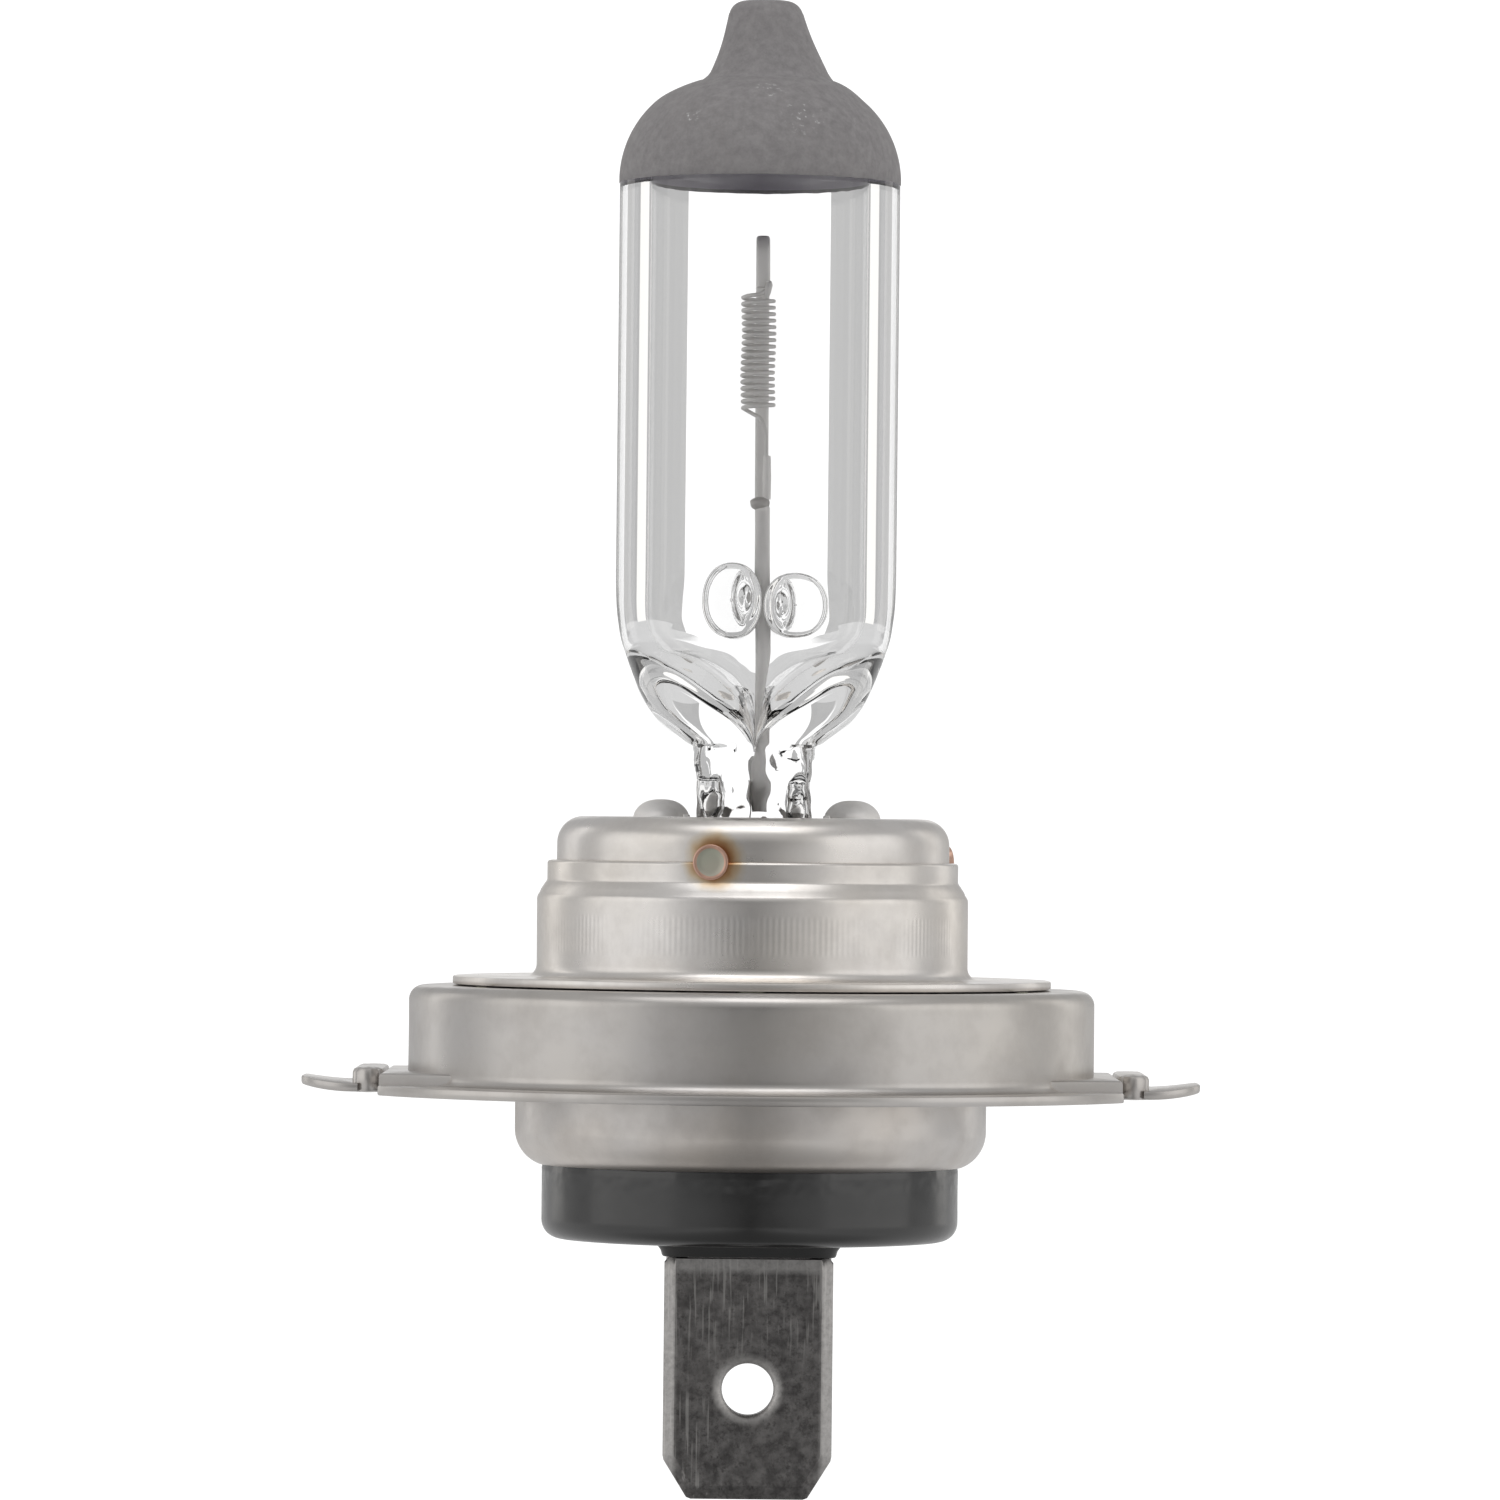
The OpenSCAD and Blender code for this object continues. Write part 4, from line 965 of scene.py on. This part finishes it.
def add_plate(shell):
    """Round plate with a flat on the left and right, open inside the ring wall."""
    inner_r = 13.3
    rows = []
    for z in (FLANGE_LOW, FLANGE_TOP):
        rows.append([(inner_r * c, inner_r * s, z) for c, s in around(720)])
    for z, inset in reversed(bevel_levels(FLANGE_LOW, FLANGE_TOP, 0.06)):
        row = []
        for c, s in around(720):
            reach = min(FLANGE_R, FLAT_X / max(abs(c), 1e-6)) - inset
            row.append((reach * c, reach * s, z))
        rows.append(row)
    shell.add(*loft(rows, closed_rows=True))


def add_pad(shell, side):
    """Raised pad whose inner side follows the ring wall."""
    rows = []
    for z, inset in ((FLANGE_TOP - 0.1, 0.0), (-0.26, 0.0), (-0.18, 0.03), (PAD_TOP, 0.1)):
        row = []
        for y in span(-6.7 + inset, 6.7 - inset, 60):
            row.append((side * math.sqrt(12.75 ** 2 - y * y), y, z))
        for y in span(5.9 - inset, -5.9 + inset, 30):
            row.append((side * (FLAT_X - inset), y, z))
        rows.append(row)
    shell.add(*loft(rows))


def add_lug(shell, side):
    """Reference boss and lug tip; the tip has rounded corners and bends slightly upward."""
    low_x, high_x = sorted((side * BOSS_IN, side * BOSS_OUT))
    shell.add(*rounded_box(low_x, high_x, -3.3, 3.3, FLANGE_LOW, 0.0, 0.16, 0.25))
    outline = [(LUG_START, y) for y in span(-LUG_HALF_Y, LUG_HALF_Y, 20)]
    outline += arc(LUG_END - LUG_CORNER_R, LUG_HALF_Y - LUG_CORNER_R, LUG_CORNER_R, 90, 0, 12)
    outline += [(LUG_END, y) for y in span(0.9, -0.9, 8)]
    outline += arc(LUG_END - LUG_CORNER_R, LUG_CORNER_R - LUG_HALF_Y, LUG_CORNER_R, 0, -90, 12)
    rows = []
    for z, inset in ((FLANGE_LOW + 0.02, 0.06), (FLANGE_LOW + 0.04, 0.02), (FLANGE_LOW + 0.1, 0.0),
                     (FLANGE_TOP - 0.1, 0.0), (FLANGE_TOP - 0.04, 0.02), (FLANGE_TOP - 0.02, 0.06)):
        row = []
        for x, y in outline:
            px = LUG_START + (x - LUG_START) * (1 - inset / (LUG_END - LUG_START))
            lift = max(px - BOSS_OUT, 0) ** 2 / (2 * LUG_BEND_R)
            row.append((side * px, y * (1 - inset / 3.2), z + lift))
        rows.append(row)
    shell.add(*loft(rows))


def add_flange(shell):
    add_plate(shell)
    for side in (-1, 1):
        add_pad(shell, side)
        add_lug(shell, side)
    # rear boss and rear lug
    shell.add(*rounded_box(-2.4, 2.4, 13.9, 15.4, FLANGE_LOW, 0.0, 0.16))
    shell.add(*rounded_box(-2.4, 2.4, 15.1, 16.4, FLANGE_LOW, FLANGE_TOP, 0.06))


def build_ring():
    """Drawn ring with a rounded top edge, a fillet into its flange, and the lugs."""
    r, top, t, rnd = 12.925, 3.08, 0.36, 0.55
    fil = 0.4
    outside = [(9.2, top - 0.05), (9.25, top)] + dense([(9.4, top), (r - rnd, top)], 0.4)
    outside += arc(r - rnd, top - rnd, rnd, 90, 0, 12)
    outside += dense([(r, top - rnd - 0.1), (r, FLANGE_TOP + fil + 0.05)], 0.2)
    outside += arc(r + fil, FLANGE_TOP + fil, fil, 180, 262, 9)
    inside = arc(r + fil, FLANGE_TOP + fil, fil + t, 262, 180, 9)
    inside += [(r - t, 0.5), (r - t, top - rnd)]
    inside += arc(r - rnd, top - rnd, rnd - t, 0, 90, 8)[1:]
    inside += [(9.25, top - t), (9.2, top - t + 0.05)]
    shell = Shell()
    verts, faces = revolve(outside + inside, 480, dented(0.02, 9.0))
    shell.add(verts, faces)
    add_flange(shell)
    obj = shell.piece("prefocus_ring_look", [STEEL], ["prefocus_ring"], 30)


def build_shell():
    """Base shell that narrows in a curve towards the insulator."""
    r, t, bend_r, bend_z = 8.885, 0.35, 1.4, -2.3
    outside = [(11.6, 2.7), (11.6, 2.4), (11.57, 2.37), (r + 0.2, 2.37), (r + 0.06, 2.33), (r, 2.25)]
    outside += dense([(r, 2.2), (r, bend_z)], 0.25)
    outside += arc(r - bend_r, bend_z, bend_r, 0, -68, 14)[1:]
    inside = arc(r - bend_r, bend_z, bend_r - t, -60, 0, 10)
    inside += [(r - t, 2.7), (r - t, 2.715)]
    verts, faces = revolve(outside + inside, 360, dented(0.015, 12.0))
    obj = Shell().add(verts, faces).piece("base_shell_look", [STEEL_SHELL], ["base_shell"], 35)


def build_insulator():
    """Round body with a rough upper rim and a low seat over each blade."""
    r, low, flat_r = 7.85, -6.4, 6.7
    profile = [(2.0, low), (5.0, low), (6.6, low)]
    profile += arc(r - 0.7, low + 0.7, 0.7, 270, 360, 10)
    profile += dense([(r, -5.6), (r, -3.75)], 0.15)
    profile += [(r - 0.03, -3.6), (r, -3.1), (8.4, -2.5), (8.43, -1.35), (8.3, -1.3), (3.0, -1.3)]
    rows = []
    for pr, pz in profile:
        rough_top = between(pz, -4.4, -3.5, 0.4)
        row = []
        for c, s in around(360):
            wave = noise.noise(Vector((c * 3, s * 3, pz * 0.8)))
            chip = noise.noise(Vector((c * 40, s * 40, pz * 4)))
            grow = 0.012 * wave + 0.016 * rough_top * chip if pr > flat_r else 0.0
            row.append(((pr + grow) * c, (pr + grow) * s, pz))
        rows.append(row)
    shell = Shell().add(*loft(rows))
    for y in (-BLADE_Y, BLADE_Y):
        seat = []
        for z, half_x, half_y in ((-6.2, 3.5, 1.1), (-6.45, 3.42, 1.02), (-6.62, 3.3, 0.95),
                                  (-6.8, 3.25, 0.92), (-6.86, 3.2, 0.88)):
            seat.append([(x, y + dy, z) for x, dy in full_outline(half_x, half_y, 7.0, 16)])
        shell.add(*loft(seat))
    obj = shell.piece("insulator_look", [INSULATOR], ["insulator"], 40)


# ---- blades

def blade_rows(centre_y, hole_z):
    """Front face, edge and rear face of a blade as rings round its hole."""
    half_w, t = BLADE_HALF_X, 0.4
    corner_w, corner_h = 0.93, 1.5
    hole_n = 160

    def outline_reach(c, s, inset):
        """Distance from the hole centre to the outline in direction (c, s)."""
        reach = (half_w - inset) / max(abs(c), 1e-9)
        up = BLADE_TOP - hole_z - inset * 0.12
        down = hole_z - BLADE_LOW - inset * 1.2
        if s > 1e-6:
            return min(reach, up / s)
        if s < -1e-6:
            # slanted corner: straight line through the two ends of the chamfer
            size = math.hypot(corner_h, corner_w)
            nx, nz = corner_h / size, corner_w / size
            off = nx * half_w + nz * (hole_z - BLADE_LOW - corner_h) - inset
            return min(reach, down / -s, off / (nx * abs(c) - nz * s))
        return reach

    def hole_ring(r, depth):
        return [(r * c, centre_y + depth, hole_z + r * s) for c, s in around(hole_n)]

    # worn rim of the hole as (step outward, depth), bevelled edge as (step inward, depth)
    rim = ((0.0, 0.16), (0.03, 0.12), (0.12, 0.07), (0.26, 0.02), (0.36, 0.0), (0.6, 0.0))
    edge = ((0.48, 0.0), (0.42, 0.0), (0.36, 0.035), (0.03, t - 0.19), (0.0, t - 0.15))
    rows = [hole_ring(HOLE_R, 0.0)]
    rows += [hole_ring(HOLE_R + step, -t + deep) for step, deep in rim]
    levels = [(-t + deep, inset) for inset, deep in edge]
    levels += [(t - deep, inset) for inset, deep in reversed(edge)]
    for depth, inset in levels:
        row = []
        for c, s in around(hole_n):
            reach = outline_reach(c, s, inset)
            row.append((reach * c, centre_y + depth, hole_z + reach * s))
        rows.append(row)
    rows += [hole_ring(HOLE_R + step, t - deep) for step, deep in reversed(rim)]
    return rows


def build_blades():
    """Each blade carries on as a narrower tail inside the insulator."""
    for y, name, drop in ((-BLADE_Y, "blade_front", 0.0), (BLADE_Y, "blade_rear", REAR_HOLE_DROP)):
        shell = Shell()
        shell.add(*loft(blade_rows(y, HOLE_Z - drop), closed_rows=True))
        shell.add(*rounded_box(-2.3, 2.3, y - 0.2, y + 0.2, -7.3, 1.0, 0.05))
        obj = shell.piece(name + "_look", [BLADE], [name], 25)


# ---- carried parts

def dress_carried_parts():
    """Materials for the CAD solids that are shown as they are."""
    wanted = {"foil_front": FOIL, "foil_rear": FOIL, "outer_lead_front": LEAD, "outer_lead_rear": LEAD,
              "flange_weld_spots": WELD, "shell_weld_spots": WELD}
    for name, material in wanted.items():
        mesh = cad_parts[name].data
        mesh.materials.clear()
        mesh.materials.append(material)


# ---- stage and light

ROOM_LEVEL = 0.48
WHITE_LEVEL = 1.15
BACKDROP_DISTANCE = 1200.0
FLOOR_Z = -40.0
FLOOR_WHITE_FROM = 0.3
FLOOR_GREY = 0.66
FLOOR_DARK = 0.2
WEDGE_START = 0.031
WEDGE_GROWTH = 0.084
RIM_LEVEL = 1.1
RIM_AZIMUTH_DEG = 133.0
RIM_DISTANCE = 700.0
CARD_DISTANCE = 620.0
CARD_R = 430.0
CARD_DARK_R = 20.0
CARD_DARK = 0.14
WARM_WHITE = (1.0, 0.985, 0.96)
# name, azimuth and elevation in degrees, distance, width, height, power, colour
LIGHTS = (("softbox_left", -70, 10, 700, 760, 700, 0.85, WARM_WHITE),
          ("softbox_right", 70, 10, 700, 760, 700, 0.85, WARM_WHITE),
          ("softbox_top", 0, 72, 600, 500, 340, 0.7, (1.0, 1.0, 1.0)))


def floor_material():
    """White in the wedge behind the bulb, pale grey beside it and darker in front of it."""
    n = Nodes("floor_pale")
    x = n.math("ABSOLUTE", n.axis("X"))
    y = n.axis("Y")
    wedge = n.plus(n.times(n.math("MAXIMUM", y, 0.0), WEDGE_GROWTH), WEDGE_START)
    beside = n.spread(n.math("SUBTRACT", x, wedge), 0.0, 0.02)
    near = n.spread(y, FLOOR_WHITE_FROM - 0.02, FLOOR_WHITE_FROM, 1.0, 0.0)
    grey = n.spread(x, 0.0, 0.06, FLOOR_DARK, FLOOR_GREY)
    front = n.spread(y, -0.01, 0.01, 1.0, 0.0)
    dull = n.plus(n.times(grey, front), n.times(FLOOR_GREY, n.math("SUBTRACT", 1.0, front)))
    shade = n.math("MAXIMUM", beside, near)
    white = n.times(WHITE_LEVEL, n.math("SUBTRACT", 1.0, shade))
    n.glow(n.plus(n.times(dull, shade), white))
    return n.mat


def glow_material(name, strength, colour):
    n = Nodes(name)
    n.glow(strength, colour)
    return n.mat


def stage_card(name, half_x, low_y, high_y, z, material):
    corners = [(-half_x, low_y, z), (half_x, low_y, z), (half_x, high_y, z), (-half_x, high_y, z)]
    obj = mesh_object(name, corners, [(0, 1, 2, 3)], [material])
    return obj


def build_panel(name, centre, size_x, size_z, material):
    """Upright card that faces the lamp axis; used for the backdrop and the rim cards."""
    obj = stage_card(name, size_x / 2, -size_z / 2, size_z / 2, 0, material)
    where = Vector(centre) * MM
    facing = Vector((0, 0, centre[2])) * MM - where
    obj.matrix_world = Matrix.Translation(where) @ facing.to_track_quat("Z", "Y").to_matrix().to_4x4()


def build_camera_side_card():
    """Round card behind the camera, dark in the middle and fading to the grey of the room."""
    n = Nodes("camera_side_dark")
    middle = n.distance((0, 0, 0))
    n.glow(n.spread(middle, CARD_DARK_R * MM, CARD_R * MM, CARD_DARK, ROOM_LEVEL, "SMOOTHSTEP"))
    count = 64
    rim = [(CARD_R * c, CARD_R * s, 0.0) for c, s in around(count)]
    faces = [(0, 1 + k, 1 + (k + 1) % count) for k in range(count)]
    obj = mesh_object("camera_side_card", [(0.0, 0.0, 0.0)] + rim, faces, [n.mat])
    obj.matrix_world = Matrix.Translation(Vector((0, -CARD_DISTANCE, 10)) * MM) @ \
        Matrix.Rotation(math.radians(-90), 4, "X")


def soft_light(name, azimuth, elevation, distance, size_x, size_y, power, colour):
    """Area light at an azimuth from the camera side, positive to the right."""
    data = bpy.data.lights.new(name, "AREA")
    data.shape = "RECTANGLE"
    data.size = size_x * MM
    data.size_y = size_y * MM
    data.energy = power
    data.color = colour
    obj = bpy.data.objects.new(name, data)
    bpy.context.collection.objects.link(obj)
    a, e = math.radians(azimuth), math.radians(elevation)
    where = Vector((math.sin(a) * math.cos(e), -math.cos(a) * math.cos(e), math.sin(e))) * distance * MM
    target = Vector((0, 0, 8)) * MM
    obj.matrix_world = Matrix.Translation(where) @ \
        (target - where).to_track_quat("-Z", "Y").to_matrix().to_4x4()


def build_stage():
    """Even grey room, white backdrop and floor, bright cards behind the bulb and soft boxes."""
    world = bpy.data.worlds.new("studio")
    bpy.context.scene.world = world
    world.use_nodes = True
    background = world.node_tree.nodes["Background"]
    background.inputs["Color"].default_value = (ROOM_LEVEL, ROOM_LEVEL, ROOM_LEVEL, 1.0)
    background.inputs["Strength"].default_value = 1.0
    white = glow_material("backdrop_white", WHITE_LEVEL, (1.0, 1.0, 1.0))
    build_panel("backdrop", (0, BACKDROP_DISTANCE, 12), 360, 700, white)
    stage_card("floor", 600, -1000, 1400, FLOOR_Z, floor_material())
    build_camera_side_card()
    rim_white = glow_material("rim_card", RIM_LEVEL, WARM_WHITE)
    a = math.radians(RIM_AZIMUTH_DEG)
    for side, name in ((-1, "rim_card_left"), (1, "rim_card_right")):
        centre = (side * RIM_DISTANCE * math.sin(a), -RIM_DISTANCE * math.cos(a), 20)
        build_panel(name, centre, 190, 760, rim_white)
    for light in LIGHTS:
        soft_light(*light)


# ---- build

build_envelope()
build_coating()
build_filament()
build_tail_sleeve()
build_filament_weld()
build_leads()
build_rods()
build_cup()
build_springs()
build_sleeve()
build_weld_spots()
build_ring()
build_shell()
build_insulator()
build_blades()
dress_carried_parts()
build_stage()
